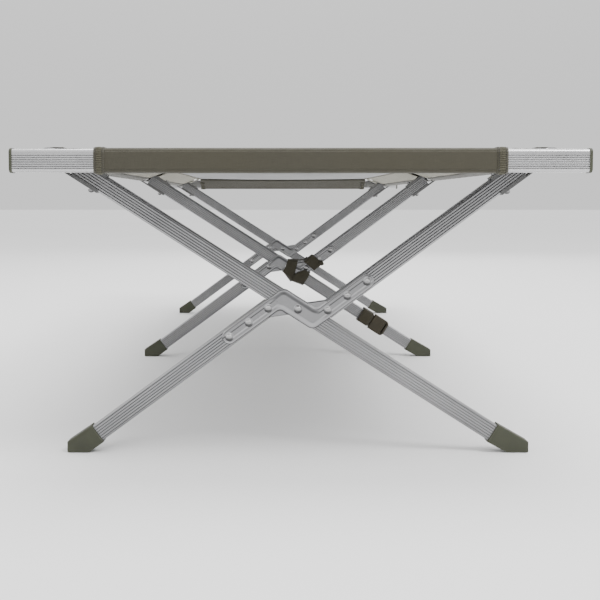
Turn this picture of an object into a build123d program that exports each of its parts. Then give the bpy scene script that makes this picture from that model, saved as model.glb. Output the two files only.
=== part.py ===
"""Folding camp cot: three scissor leg sets, hinged side rails, pull-off end bars and a fabric bed.

Frame: millimetres, +Z up, origin on the floor under the middle of the bed. The head end is at -Y and
the foot end at +Y. The left side rail is at -X.
"""
from build123d import *
import os
from math import asin, cos, degrees, radians, sin

# ---------------------------------------------------------------- driving dimensions
LENGTH = 1900.0            # over the outer faces of the two end bars
BAR_LENGTH = 740.0         # over the end caps of an end bar
BAR_DEPTH = 19.0
BAR_HEIGHT = 30.0
BAR_BOTTOM = 389.0
BAR_WALL = 2.0
BAR_GROOVES = 7
BAR_GROOVE_PITCH = 2.8
BAR_CAP = 4.0              # thickness of a bar's end cap outside the bar

RAIL_X = 324.0             # each side rail's centre, left and right of the middle
RAIL_R = 12.5
RAIL_WALL = 1.5
PEG_R = 6.0
PEG_REACH = 13.0           # how far a rail's peg reaches into the end bar
COLLAR = 2.3
HINGE_Y = -20.0            # the rails' hinge line, just clear of the middle legs
HINGE_RISE = 17.3          # hinge pin above the rails' centre
KNUCKLE_R = 4.5
HINGE_PIN_R = 2.0
HINGE_COLLAR = 6.0

PIVOT_Z = 202.0            # crossing pivot above the floor
LEG_ANGLE = 32.6           # the long leg's slope at rest, degrees
LEG_WIDTH = 25.1
LEG_DEPTH = 16.0
LONG_LEG_DEPTH = 15.4      # the long leg turns between the crank plates
LEG_WALL = 1.5
LEG_GROOVES = 6
LEG_GROOVE_PITCH = 3.6
HALF_OFFSET = 25.6         # each half leg's axis beside the pivot
LEG_TOP_GAP = 18.0         # from the rail's centre to the end of a leg
LEG_SETS = {"head": -828.0, "middle": 0.0, "foot": 828.0}

PLATE = 1.8                # crank plate's sheet
BEAD = 1.5                 # height of its pressed bead
BEAD_ARM_HALF = 5.6        # half width of the bead along the arms, and along the crank
BEAD_CRANK_HALF = 9.6
BEAD_INSET = 4.6
BEAD_CORNER = 9.0
PLATE_CORNER = 12.0
GUSSET = 20.0              # flange in each inner corner of the crank
ARM_WIDTH = 21.0
ARM_END = 110.5
CRANK_HALF = 13.8          # half width of the plate where it follows the long leg
RIVET_STATIONS = [32.7, 66.4, 100.2]
RIVET_R = 2.4
RIVET_HEAD_R = 4.3
RIVET_HEAD = 2.5
PIVOT_R = 3.0
RUN = 0.05                 # radial clearance of a turning fit
CLEAR = 0.3                # clearance between parts that pass each other

BRACKET = 2.0              # bracket's strip
BRACKET_WIDTH = 20.0
BRACKET_LENGTH = 62.0
BRACKET_LIP = 3.4
PIN_STATION = 52.0
PIN_R = 2.5
PIN_HEAD_R = 4.6
PIN_HEAD = 2.6

FOOT_TIP_X = 323.6         # outermost face of a foot cap
FOOT_TIP_Z = 15.0
FOOT_HEEL_X = 293.0
FOOT_MOUTH_Z = 15.0        # height of the lower edge of a foot cap's mouth
FOOT_WALL = 1.9
FOOT_DEPTH = 20.4

FABRIC = 1.2
SLEEVE_TAIL = 24.0         # a side sleeve's reach inboard of its rail
PANEL_TOP = 1.3            # the panel's top above the rail
PANEL_END = 905.0
END_SLEEVE = 524.0
FABRIC_AIR = 0.1           # between a sleeve and the metal that it covers
SLEEVE_CUT = 14.0          # cut-out in a side sleeve, each way from a leg set
SLEEVE_END = 912.0

WEB = 1.5                  # webbing's thickness
WEB_WIDTH = 25.0
ARM_TURN = 44.0            # where the webbing goes round the upper half leg, and round the long leg
LEG_TURN = 47.0
WAIST_LOW = -38.0          # the upright turn over the pivot, below and above it
WAIST_HIGH = 31.0
WAIST_X = -4.0
BAND_HALF = 13.0           # inner half width of a band of webbing round a leg
BAND_SLACK = 0.2
BUCKLE_WIDTH = 36.0
BUCKLE_DEPTH = 9.6
SOCKET_START = 224.0       # the buckle's stations along the long leg, from the pivot
SOCKET_END = 262.0
PLUG_START = 195.0

# ---------------------------------------------------------------- derived places
HALF_LENGTH = LENGTH / 2
BAR_Y = HALF_LENGTH - BAR_DEPTH / 2
BAR_Z = BAR_BOTTOM + BAR_HEIGHT / 2
BAR_REAR = HALF_LENGTH - BAR_DEPTH
PIVOT_TO_RAIL = RAIL_X / cos(radians(LEG_ANGLE))
RAIL_Z = PIVOT_Z + PIVOT_TO_RAIL * sin(radians(LEG_ANGLE))
HINGE_Z = RAIL_Z + HINGE_RISE
HALF_ANGLE = LEG_ANGLE + degrees(asin(HALF_OFFSET / PIVOT_TO_RAIL))
HALF_TO_RAIL = (PIVOT_TO_RAIL**2 - HALF_OFFSET**2) ** 0.5
ARM_DROP = LEG_DEPTH / 2 + PLATE
HEAD_SEAT = ARM_DROP + BEAD

PARTS = {}


def leg_frame(angle, y=0.0):
    """Frame at the pivot: local x along a leg, local y across it and local z towards the head end."""
    a = radians(angle)
    return Plane(origin=(0, y, PIVOT_Z), x_dir=(cos(a), 0, sin(a)), z_dir=(0, -1, 0))


LONG = leg_frame(-LEG_ANGLE)
SPLIT = leg_frame(HALF_ANGLE)


def across_depth(sketch, depth):
    """Extrude a sketch drawn in a leg frame, centred on the legs' plane."""
    return extrude(sketch, amount=depth / 2, both=True)


def tube_section(width, depth, wall, grooves, pitch):
    """Ribbed rectangular tube: rounded corners and V grooves along both broad faces."""
    section = RectangleRounded(width, depth, 3.2) - RectangleRounded(width - 2 * wall, depth - 2 * wall, 1.8)
    for i in range(grooves):
        x = (i - (grooves - 1) / 2) * pitch
        for side in (-1, 1):
            section -= Pos(x, side * depth / 2) * Rot(0, 0, 45) * Rectangle(1.15, 1.15)
    return section


def leg_tube(start, end, offset, depth):
    """Straight leg tube along local x, from start to end, its axis at the offset across."""
    section = tube_section(LEG_WIDTH, depth, LEG_WALL, LEG_GROOVES, LEG_GROOVE_PITCH)
    frame = Plane(origin=(start, offset, 0), x_dir=(0, 1, 0), z_dir=(1, 0, 0))
    return extrude(frame * section, amount=end - start)


def drill(x, y, radius, depth=40.0):
    """Cutter for a hole through a leg, along local z."""
    return Pos(x, y) * Cylinder(radius, depth)


def cross_drill(x, y, radius, depth=60.0):
    """Cutter for a hole across a leg, along local y."""
    return Pos(x, y) * Rot(90, 0, 0) * Cylinder(radius, depth)


def dome(radius, height):
    """Domed head standing on z = 0."""
    blank = Pos(0, 0, height / 2) * Cylinder(radius, height)
    return fillet(blank.edges().sort_by(Axis.Z)[-1], height * 0.92)


def double_rivet(x, y, shank_r, head_r, seat, height):
    """Rivet along local z: a shank between two domed heads that sit at the seat distance."""
    head = dome(head_r, height)
    rivet = Cylinder(shank_r, 2 * seat) + Pos(0, 0, seat) * head + Pos(0, 0, -seat) * Rot(180, 0, 0) * head
    return Pos(x, y) * rivet


# ---------------------------------------------------------------- leg sets
def long_leg():
    """The one-piece leg, from the left rail down to the right foot."""
    leg = leg_tube(-PIVOT_TO_RAIL + LEG_TOP_GAP, 336.0, 0.0, LONG_LEG_DEPTH)
    leg -= drill(0, 0, PIVOT_R + RUN)
    return leg - cross_drill(-PIVOT_TO_RAIL + PIN_STATION, 0, PIN_R)


def half_legs():
    """The upper and the lower half leg, mitred where they stop beside the long leg."""
    keep_out = SPLIT.location.inverse() * LONG.location * Box(260, LEG_WIDTH + 4, 60)
    upper = leg_tube(12.0, HALF_TO_RAIL - LEG_TOP_GAP, -HALF_OFFSET, LEG_DEPTH) - keep_out
    lower = leg_tube(-336.0, -12.0, HALF_OFFSET, LEG_DEPTH) - keep_out
    for station in RIVET_STATIONS:
        upper -= drill(station, -HALF_OFFSET, RIVET_R)
        lower -= drill(-station, HALF_OFFSET, RIVET_R)
    upper -= cross_drill(HALF_TO_RAIL - PIN_STATION, -HALF_OFFSET, PIN_R)
    return upper.solids().sort_by(Axis.X)[-1], lower.solids().sort_by(Axis.X)[0]


def edge_point(across, beside):
    """Point of the leg plane at the given distances beside the half legs' line and the long leg's axis."""
    turn = radians(HALF_ANGLE + LEG_ANGLE)
    return ((across * cos(turn) - beside) / -sin(turn), across)


def s_outline(arm_half, crank_half, arm_end, gusset, corner, end_corner):
    """Cranked plate's outline in the split leg's frame, point-symmetric about the pivot."""
    outer = edge_point(HALF_OFFSET + arm_half, crank_half)
    inner = edge_point(-HALF_OFFSET + arm_half, crank_half)
    half = [outer]
    radii = [corner]
    if gusset:
        turn = radians(HALF_ANGLE + LEG_ANGLE)
        half += [(inner[0] - 0.72 * gusset * cos(turn), inner[1] + 0.72 * gusset * sin(turn))]
        half += [(inner[0] + gusset, inner[1])]
        radii += [5.0, 8.0]
    else:
        half += [inner]
        radii += [7.0]
    half += [(arm_end, -HALF_OFFSET + arm_half), (arm_end, -HALF_OFFSET - arm_half)]
    radii += [end_corner, end_corner]
    points = half + [(-x, -y) for x, y in half]
    outline = Polyline(*points, close=True)
    face = make_face(outline)
    for (x, y), radius in zip(points, radii * 2):
        corner_vertex = face.vertices().sort_by_distance(Vector(x, y, 0))[0]
        face = fillet(corner_vertex, radius)
    return face


def crank_plate():
    """Pressed plate lying on z = 0: a sheet with a bead down its middle and a hole for each rivet."""
    arm_half = ARM_WIDTH / 2
    sheet = s_outline(arm_half, CRANK_HALF, ARM_END, GUSSET, PLATE_CORNER, arm_half - 0.1)
    sheet = extrude(sheet, amount=PLATE)
    bead_end = ARM_END - BEAD_INSET
    bead = s_outline(BEAD_ARM_HALF, BEAD_CRANK_HALF, bead_end, 0.0, BEAD_CORNER, BEAD_ARM_HALF - 0.1)
    bead = extrude(bead, amount=PLATE + BEAD)
    rim = bead.edges().group_by(Axis.Z)[-1]
    plate = sheet + fillet(rim, 1.2)
    for station in RIVET_STATIONS:
        plate -= drill(station, -HALF_OFFSET, RIVET_R)
        plate -= drill(-station, HALF_OFFSET, RIVET_R)
    return plate - drill(0, 0, PIVOT_R)


def split_rivets():
    """Six plate rivets, the pivot rivet and the upper bracket's cross pin."""
    rivets = [double_rivet(0, 0, PIVOT_R, RIVET_HEAD_R, HEAD_SEAT, RIVET_HEAD)]
    for station in RIVET_STATIONS:
        rivets += [double_rivet(station, -HALF_OFFSET, RIVET_R, RIVET_HEAD_R, HEAD_SEAT, RIVET_HEAD)]
        rivets += [double_rivet(-station, HALF_OFFSET, RIVET_R, RIVET_HEAD_R, HEAD_SEAT, RIVET_HEAD)]
    return rivets + [cross_pin(HALF_TO_RAIL - PIN_STATION, -HALF_OFFSET)]


def cross_pin(x, y):
    """Headed pin across a leg and its bracket."""
    pin = double_rivet(0, 0, PIN_R, PIN_HEAD_R, LEG_WIDTH / 2 + BRACKET, PIN_HEAD)
    return Pos(x, y) * Rot(90, 0, 0) * pin


def rail_bracket():
    """U strip round a rail at the origin, its two arms running along local +x beside the leg."""
    inner = LEG_WIDTH / 2
    outer = inner + BRACKET
    arms = Pos(BRACKET_LENGTH / 2, 0) * Rectangle(BRACKET_LENGTH, 2 * outer)
    slot = Pos(BRACKET_LENGTH / 2 + 1, 0) * Rectangle(BRACKET_LENGTH + 2, 2 * inner)
    strip = Circle(outer) + arms - Circle(inner) - slot
    bracket = across_depth(strip, BRACKET_WIDTH)
    lip_length = BRACKET_LENGTH - LEG_TOP_GAP - 2
    for side in (-1, 1):
        for face in (-1, 1):
            lip = Box(lip_length, BRACKET_LIP, (BRACKET_WIDTH - LEG_DEPTH) / 2)
            x = BRACKET_LENGTH - lip_length / 2
            z = face * (BRACKET_WIDTH + LEG_DEPTH) / 4
            bracket += Pos(x, side * (inner - BRACKET_LIP / 2), z) * lip
    return bracket - cross_drill(PIN_STATION, 0, PIN_R)


def foot_cap(frame, side, along, axis_offset, leg):
    """Pointed foot cap over the end of a leg. side is +1 on the right and -1 on the left."""
    half = LEG_WIDTH / 2 + FOOT_WALL
    placed = frame.location
    upper = (placed * Pos(along, axis_offset + half, 0)).position
    lower = (placed * Pos(along, axis_offset - half, 0)).position
    profile = [
        (upper.X, upper.Z),
        (side * FOOT_TIP_X, FOOT_TIP_Z),
        (side * FOOT_TIP_X, 0),
        (side * FOOT_HEEL_X, 0),
        (lower.X, lower.Z),
    ]
    face = Plane.XZ * make_face(Polyline(*profile, close=True))
    cap = extrude(face, amount=FOOT_DEPTH / 2, both=True)
    long_edges = cap.edges().filter_by(Axis.Y)
    at_tip = [e for e in long_edges if abs(e.center().X) > FOOT_HEEL_X - 1]
    cap = fillet(at_tip, 1.6)
    flanks = cap.edges().filter_by(lambda e: abs(abs(e.center().Y) - FOOT_DEPTH / 2) < 1e-6)
    cap = chamfer(flanks, 0.9)
    pocket = Plane(origin=(0, axis_offset, 0), x_dir=(0, 1, 0), z_dir=(1, 0, 0))
    pocket = extrude(pocket * RectangleRounded(LEG_WIDTH, leg, 3.2), amount=336.0 if side > 0 else -336.0)
    return cap - frame.location * pocket


def mouth_station(angle, offset):
    """Station along a leg, from the pivot, where its foot cap's mouth comes down to its given height."""
    low = PIVOT_Z + (offset - LEG_WIDTH / 2 - FOOT_WALL) * cos(radians(angle))
    return (low - FOOT_MOUTH_Z) / sin(radians(angle))


def leg_set(name, y):
    """One scissor leg set at its place along the bed."""
    here = Pos(0, y, 0)
    plate = crank_plate()
    front = Pos(0, 0, LEG_DEPTH / 2) * plate
    rear = Pos(0, 0, -LEG_DEPTH / 2) * mirror(plate, Plane.XY)
    upper, lower = half_legs()
    bracket = rail_bracket()
    cap_long = foot_cap(LONG, 1, mouth_station(LEG_ANGLE, 0), 0.0, LONG_LEG_DEPTH)
    cap_split = foot_cap(SPLIT, -1, -mouth_station(HALF_ANGLE, HALF_OFFSET), HALF_OFFSET, LEG_DEPTH)
    long_pieces = {
        "long_leg": [long_leg()],
        "long_bracket": [Pos(-PIVOT_TO_RAIL, 0) * bracket],
        "long_bracket_pin": [cross_pin(-PIVOT_TO_RAIL + PIN_STATION, 0)],
    }
    split_pieces = {
        "upper_half_leg": [upper],
        "lower_half_leg": [lower],
        "crank_plates": [front, rear],
        "split_rivets": split_rivets(),
        "split_bracket": [Pos(HALF_TO_RAIL, -HALF_OFFSET) * Rot(0, 0, 180) * bracket],
    }
    for frame, pieces in ((LONG, long_pieces), (SPLIT, split_pieces)):
        for piece, solids in pieces.items():
            PARTS[f"{name}_{piece}"] = [here * frame.location * s for s in solids]
    PARTS[f"{name}_long_foot_cap"] = [here * cap_long]
    PARTS[f"{name}_split_foot_cap"] = [here * cap_split]


# ---------------------------------------------------------------- side rails
def along_y(solid, y, z=0.0):
    """Stand a solid made along z on the given place along a rail, pointing to +Y."""
    return Pos(0, y, z) * Rot(-90, 0, 0) * solid


def rod(radius, start, end, z=0.0):
    """Round bar or cutter along Y from start to end, at a height above the rail's centre."""
    return along_y(Cylinder(radius, end - start), (start + end) / 2, z)


def knuckle(centre, width, side):
    """Hinge knuckle with the web that joins it to its collar, on the side (+1 or -1) of the hinge line."""
    drop = HINGE_RISE - RAIL_R + 3.0
    turned = Pos(centre, HINGE_Y, HINGE_RISE) * Rot(0, 90, 0) * Cylinder(KNUCKLE_R, width)
    web = Box(width, HINGE_COLLAR - CLEAR, drop)
    middle = HINGE_Y + side * (HINGE_COLLAR + CLEAR) / 2
    return turned + Pos(centre, middle, HINGE_RISE - drop / 2) * web


def hinge_plug(side, centres, width, bore):
    """Plug in a rail's inner end: a spigot, a collar the size of the rail, and knuckles above it."""
    face = HINGE_Y + side * 0.05
    shoulder = HINGE_Y + side * HINGE_COLLAR
    tip = shoulder + side * 34.0
    plug = rod(RAIL_R, min(face, shoulder), max(face, shoulder))
    plug += rod(RAIL_R - RAIL_WALL, min(shoulder, tip), max(shoulder, tip))
    for centre in centres:
        plug += knuckle(centre, width, side)
    return plug - Pos(0, HINGE_Y, HINGE_RISE) * Rot(0, 90, 0) * Cylinder(bore, 60)


def hinge_pin():
    """Hinge pin with a head at each end."""
    shank = Cylinder(HINGE_PIN_R, 20.6)
    heads = [Pos(0, 0, z) * Cylinder(3.4, 1.6) for z in (-11.1, 11.1)]
    return Pos(0, HINGE_Y, HINGE_RISE) * Rot(0, 90, 0) * (shank + heads[0] + heads[1])


def end_peg(side):
    """Plug in a rail's outer end: a spigot, a collar, and the peg that enters the end bar."""
    collar = BAR_REAR - CLEAR
    shoulder = collar - COLLAR
    spans = [
        (RAIL_R - RAIL_WALL, shoulder - 30.0, shoulder),
        (RAIL_R, shoulder, collar),
        (PEG_R, collar, BAR_REAR + PEG_REACH),
    ]
    plug = Part() + [rod(r, *sorted((side * a, side * b))) for r, a, b in spans]
    tip = plug.edges().filter_by(GeomType.CIRCLE).sort_by(Axis.Y)[-1 if side > 0 else 0]
    return chamfer(tip, 1.5)


def side_sleeve(spans, inboard):
    """Fabric round a rail over the given spans, with its tail towards the bed's middle."""
    outer = RAIL_R + FABRIC_AIR + FABRIC
    tail = [(0, outer), (SLEEVE_TAIL, RAIL_R + PANEL_TOP), (SLEEVE_TAIL, RAIL_R), (6, -10), (0, -10)]
    tail = make_face(Polyline(*[(inboard * x, z) for x, z in tail], close=True))
    section = Circle(outer) + tail - Circle(RAIL_R + FABRIC_AIR)
    sleeve = Part()
    for start, end in spans:
        placed = Plane(origin=(0, start, 0), x_dir=(1, 0, 0), z_dir=(0, -1, 0))
        sleeve += extrude(placed * section, amount=-(end - start))
    return list(sleeve.solids())


def rails():
    """Both side rails, each in two halves that meet at the hinge line."""
    inner = {"foot": HINGE_Y + HINGE_COLLAR, "head": HINGE_Y - HINGE_COLLAR}
    outer_end = BAR_REAR - CLEAR - COLLAR
    sleeves = {
        "foot": [(SLEEVE_CUT, 828.0 - SLEEVE_CUT), (828.0 + SLEEVE_CUT, SLEEVE_END)],
        "head": [(-SLEEVE_END, -828.0 - SLEEVE_CUT), (-828.0 + SLEEVE_CUT, HINGE_Y - SLEEVE_CUT)],
    }
    plugs = {
        "foot": ("hinge_fork", hinge_plug(1, (-7.0, 7.0), 6.0, HINGE_PIN_R)),
        "head": ("hinge_tongue", hinge_plug(-1, (0.0,), 7.2, HINGE_PIN_R + RUN)),
    }
    for side_name, side in (("left", -1), ("right", 1)):
        here = Pos(side * RAIL_X, 0, RAIL_Z)
        for end_name, end in (("head", -1), ("foot", 1)):
            name = f"{side_name}_{end_name}"
            start, stop = sorted((inner[end_name], end * outer_end))
            tube = rod(RAIL_R, start, stop) - rod(RAIL_R - RAIL_WALL, start - 1, stop + 1)
            PARTS[f"{name}_rail"] = [here * tube]
            PARTS[f"{name}_end_peg"] = [here * end_peg(end)]
            kind, plug = plugs[end_name]
            solids = [plug, hinge_pin()] if end_name == "foot" else [plug]
            PARTS[f"{name}_{kind}"] = [here * s for s in solids]
            PARTS[f"{name}_sleeve"] = [here * s for s in side_sleeve(sleeves[end_name], -side)]


# ---------------------------------------------------------------- end bars
def bar_section():
    """Extrusion's section, its ribbed outer face at +x: open along the back for the rails' pegs."""
    section = RectangleRounded(BAR_DEPTH, BAR_HEIGHT, 5.0)
    section -= RectangleRounded(BAR_DEPTH - 2 * BAR_WALL, BAR_HEIGHT - 2 * BAR_WALL, 3.0)
    slot_z = RAIL_Z - BAR_Z
    section -= Pos(-BAR_DEPTH / 2, slot_z) * Rectangle(2 * BAR_WALL + 1, 2 * (PEG_R + CLEAR))
    for i in range(BAR_GROOVES):
        z = -BAR_HEIGHT / 2 + 4.6 + i * BAR_GROOVE_PITCH
        section -= Pos(BAR_DEPTH / 2, z) * Rot(0, 0, 45) * Rectangle(1.15, 1.15)
    return section


def end_bars():
    """Both end bars, each with its pair of end caps and its fabric sleeve."""
    bar_half = BAR_LENGTH / 2 - BAR_CAP
    for name, end in (("head", -1), ("foot", 1)):
        frame = Plane(origin=(0, end * BAR_Y, BAR_Z), x_dir=(0, end, 0), z_dir=(end, 0, 0))
        bar = frame * bar_section()
        PARTS[f"{name}_end_bar"] = [extrude(bar, amount=bar_half, both=True)]
        cover = RectangleRounded(BAR_DEPTH + 1.6, BAR_HEIGHT + 1.6, 5.6)
        spigot = RectangleRounded(BAR_DEPTH - 2 * BAR_WALL, BAR_HEIGHT - 2 * BAR_WALL, 3.0)
        caps = []
        for side in (-1, 1):
            cap = Pos(0, 0, side * (bar_half + BAR_CAP / 2)) * extrude(cover, BAR_CAP / 2, both=True)
            outer = cap.faces().sort_by(Axis.Z)[-1 if side > 0 else 0]
            cap = fillet(outer.edges(), 1.8)
            cap += Pos(0, 0, side * (bar_half - 6)) * extrude(spigot, 6, both=True)
            caps += [frame.location * cap]
        PARTS[f"{name}_bar_end_caps"] = caps
        air = 2 * FABRIC_AIR
        sleeve = RectangleRounded(BAR_DEPTH + air + 2 * FABRIC, BAR_HEIGHT + air + 2 * FABRIC, 6.2)
        sleeve -= RectangleRounded(BAR_DEPTH + air, BAR_HEIGHT + air, 5.1)
        tail = BAR_REAR - PANEL_END - 1.0
        sleeve += Pos(-BAR_DEPTH / 2 - tail / 2, BAR_HEIGHT / 2 - 3) * Rectangle(tail, FABRIC)
        sleeve = extrude(frame * sleeve, amount=END_SLEEVE / 2, both=True)
        PARTS[f"{name}_end_sleeve"] = [sleeve]


# ---------------------------------------------------------------- bed panels
def panels():
    """The two halves of the bed panel, between the side sleeves."""
    top = RAIL_Z + RAIL_R + PANEL_TOP
    width = 2 * (RAIL_X - SLEEVE_TAIL) - 1.0
    for name, start, end in (("head", -PANEL_END, HINGE_Y - CLEAR), ("foot", HINGE_Y + CLEAR, PANEL_END)):
        sheet = Box(width, end - start, FABRIC)
        PARTS[f"{name}_panel"] = [Pos(0, (start + end) / 2, top - FABRIC / 2) * sheet]


# ---------------------------------------------------------------- strap and buckle
def web_loop(frame, start, width, across, beside, front, back):
    """Closed band of webbing round a leg: its inner faces at the given distances from the leg's axis."""
    high, wide = front + back, across + beside
    middle = Pos(start + width / 2, (across - beside) / 2, (front - back) / 2)
    band = Box(width, wide + 2 * WEB, high + 2 * WEB) - Box(width + 1, wide, high)
    return frame.location * middle * band


def strap():
    """Webbing wound round the middle crossing, with a tail along the long leg to the buckle."""
    stack = HEAD_SEAT + RIVET_HEAD + 0.4
    back = LONG_LEG_DEPTH / 2 + CLEAR
    loose = BAND_HALF + BAND_SLACK
    hold_start = SOCKET_END - WEB_WIDTH - 4.0
    tail_start, tail_end = LEG_TURN + WEB_WIDTH + CLEAR, hold_start - CLEAR
    tail = Box(tail_end - tail_start, WEB_WIDTH - 1, WEB)
    PARTS["strap_webbing"] = [
        upright_loop(stack),
        web_loop(SPLIT, ARM_TURN, WEB_WIDTH, loose - HALF_OFFSET, loose + HALF_OFFSET, stack, stack),
        web_loop(LONG, LEG_TURN, WEB_WIDTH, BAND_HALF, BAND_HALF, back + BAND_SLACK, back + BAND_SLACK),
        LONG.location * Pos((tail_start + tail_end) / 2, 0, -back - WEB / 2) * tail,
        web_loop(LONG, hold_start, WEB_WIDTH, BAND_HALF, BAND_HALF, back, back),
    ]
    PARTS["strap_loop"] = [web_loop(LONG, PLUG_START + 1, WEB_WIDTH, loose, loose, back, back + WEB + CLEAR)]


def upright_loop(stack):
    """The turn of webbing that stands upright over the pivot."""
    tall = WAIST_HIGH - WAIST_LOW
    band = Box(WEB_WIDTH, 2 * stack + 2 * WEB, tall) - Box(WEB_WIDTH + 1, 2 * stack, tall - 2 * WEB)
    return Pos(WAIST_X, 0, PIVOT_Z + (WAIST_LOW + WAIST_HIGH) / 2) * band


def buckle():
    """Side-release buckle on the front of the middle long leg: a socket, and a plug with two prongs."""
    seat = LONG_LEG_DEPTH / 2 + 0.3 + WEB + 0.2
    middle = seat + BUCKLE_DEPTH / 2
    length = SOCKET_END - SOCKET_START
    blank = Box(length, BUCKLE_WIDTH, BUCKLE_DEPTH)
    rim = blank.edges().filter_by(Axis.Z).sort_by(Axis.X)[-2:]
    blank = fillet(rim, 9.0)
    blank = fillet(blank.faces().sort_by(Axis.Z)[-1].edges(), 2.2)
    cavity = Pos(-6.0, 0, -0.4) * Box(length - 12.0, 27.0, 5.2)
    windows = Pos(-3.0, 0, -0.4) * Box(13.0, BUCKLE_WIDTH + 2, 4.6)
    bar_slot = Pos(length / 2 - 6.5, 0, 0) * Box(3.2, 27.0, BUCKLE_DEPTH + 2)
    groove = Pos(length / 2 - 12.5, 0, BUCKLE_DEPTH / 2) * Box(0.9, BUCKLE_WIDTH, 1.0)
    socket = blank - cavity - windows - bar_slot - groove
    centre = Pos((SOCKET_START + SOCKET_END) / 2, 0, middle)
    PARTS["buckle_socket"] = [LONG.location * centre * socket]

    base_length = SOCKET_START - PLUG_START - 0.6
    base = Box(base_length, 29.0, 7.0)
    base = fillet(base.edges().filter_by(Axis.Z), 2.5)
    base = fillet(base.faces().sort_by(Axis.Z)[-1].edges(), 1.2)
    for x in (-8.0, 3.0):
        base -= Pos(x, 0, 0) * Box(4.2, 25.4, 10)
    plug = base
    for y, reach in ((-10.2, 23.0), (0.0, 19.0), (10.2, 23.0)):
        width = 5.0 if y else 4.0
        prong = Box(reach + 2, width, 4.2)
        plug += Pos(base_length / 2 + reach / 2 - 1, y, -0.4) * prong
    place = Pos(PLUG_START + base_length / 2, 0, middle)
    PARTS["buckle_plug"] = [LONG.location * place * plug]


def write_parts():
    """Write each node's solids to its own STEP file."""
    os.makedirs("parts", exist_ok=True)
    for name, solids in PARTS.items():
        bodies = [s for shape in solids for s in shape.solids()]
        export_step(bodies[0] if len(bodies) == 1 else Compound(children=bodies), f"parts/{name}.step")
        print(name, len(bodies))


for set_name, set_y in LEG_SETS.items():
    leg_set(set_name, set_y)
rails()
end_bars()
panels()
strap()
buckle()
write_parts()
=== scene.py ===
"""Looks of a folding camp cot: its fabric cover, stitching, strap and finishes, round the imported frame."""
import logging
import math
from collections.abc import Sequence
from dataclasses import dataclass, field
from enum import Enum

import bmesh
import bpy
import numpy as np
from mathutils import Matrix, Vector
from mathutils.geometry import delaunay_2d_cdt


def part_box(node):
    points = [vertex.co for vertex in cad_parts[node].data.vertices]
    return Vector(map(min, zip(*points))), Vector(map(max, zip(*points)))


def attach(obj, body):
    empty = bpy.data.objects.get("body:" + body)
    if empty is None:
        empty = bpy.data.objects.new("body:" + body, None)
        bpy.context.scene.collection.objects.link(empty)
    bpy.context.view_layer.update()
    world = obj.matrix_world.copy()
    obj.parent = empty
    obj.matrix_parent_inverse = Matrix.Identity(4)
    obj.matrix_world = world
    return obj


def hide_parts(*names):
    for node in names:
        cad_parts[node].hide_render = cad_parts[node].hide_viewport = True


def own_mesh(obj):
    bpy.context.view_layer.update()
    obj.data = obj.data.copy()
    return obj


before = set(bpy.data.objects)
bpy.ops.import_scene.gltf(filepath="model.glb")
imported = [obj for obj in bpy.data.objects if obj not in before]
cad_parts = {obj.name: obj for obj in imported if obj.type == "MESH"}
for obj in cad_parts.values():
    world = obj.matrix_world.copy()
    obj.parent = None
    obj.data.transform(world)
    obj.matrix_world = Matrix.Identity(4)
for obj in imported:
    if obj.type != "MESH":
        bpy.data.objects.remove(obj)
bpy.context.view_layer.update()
LOG = logging.getLogger("cot")
Colour = tuple[float, float, float]
MM = 0.001
PLY_AIR = 0.9 * MM  # between the bed's cloth and each ply of an end sleeve
THREAD_AIR = 0.85 * MM  # between an end sleeve and the threads on it
END_AIR = 6 * MM  # between the bed's cloth and the back of an end bar
CORNER_CUT = 26 * MM  # how much shorter the bed's cloth is at its corners
STITCH_STEPS = np.array([0.0, 0.16, 0.5, 0.84, 1.0])
STITCH_LIFT = np.array([-0.35, 0.35, 0.6, 0.35, -0.35])
STITCH_GIRTH = np.array([0.35, 0.85, 1.0, 0.85, 0.35])


class End(Enum):
    """The two ends of the bed."""

    HEAD = "head"
    FOOT = "foot"

    @property
    def sign(self) -> int:
        """Direction of this end along the bed."""
        return -1 if self is End.HEAD else 1


class Side(Enum):
    """The two sides of the bed."""

    LEFT = "left"
    RIGHT = "right"

    @property
    def sign(self) -> int:
        """Direction of this side across the bed."""
        return -1 if self is Side.LEFT else 1


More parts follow.
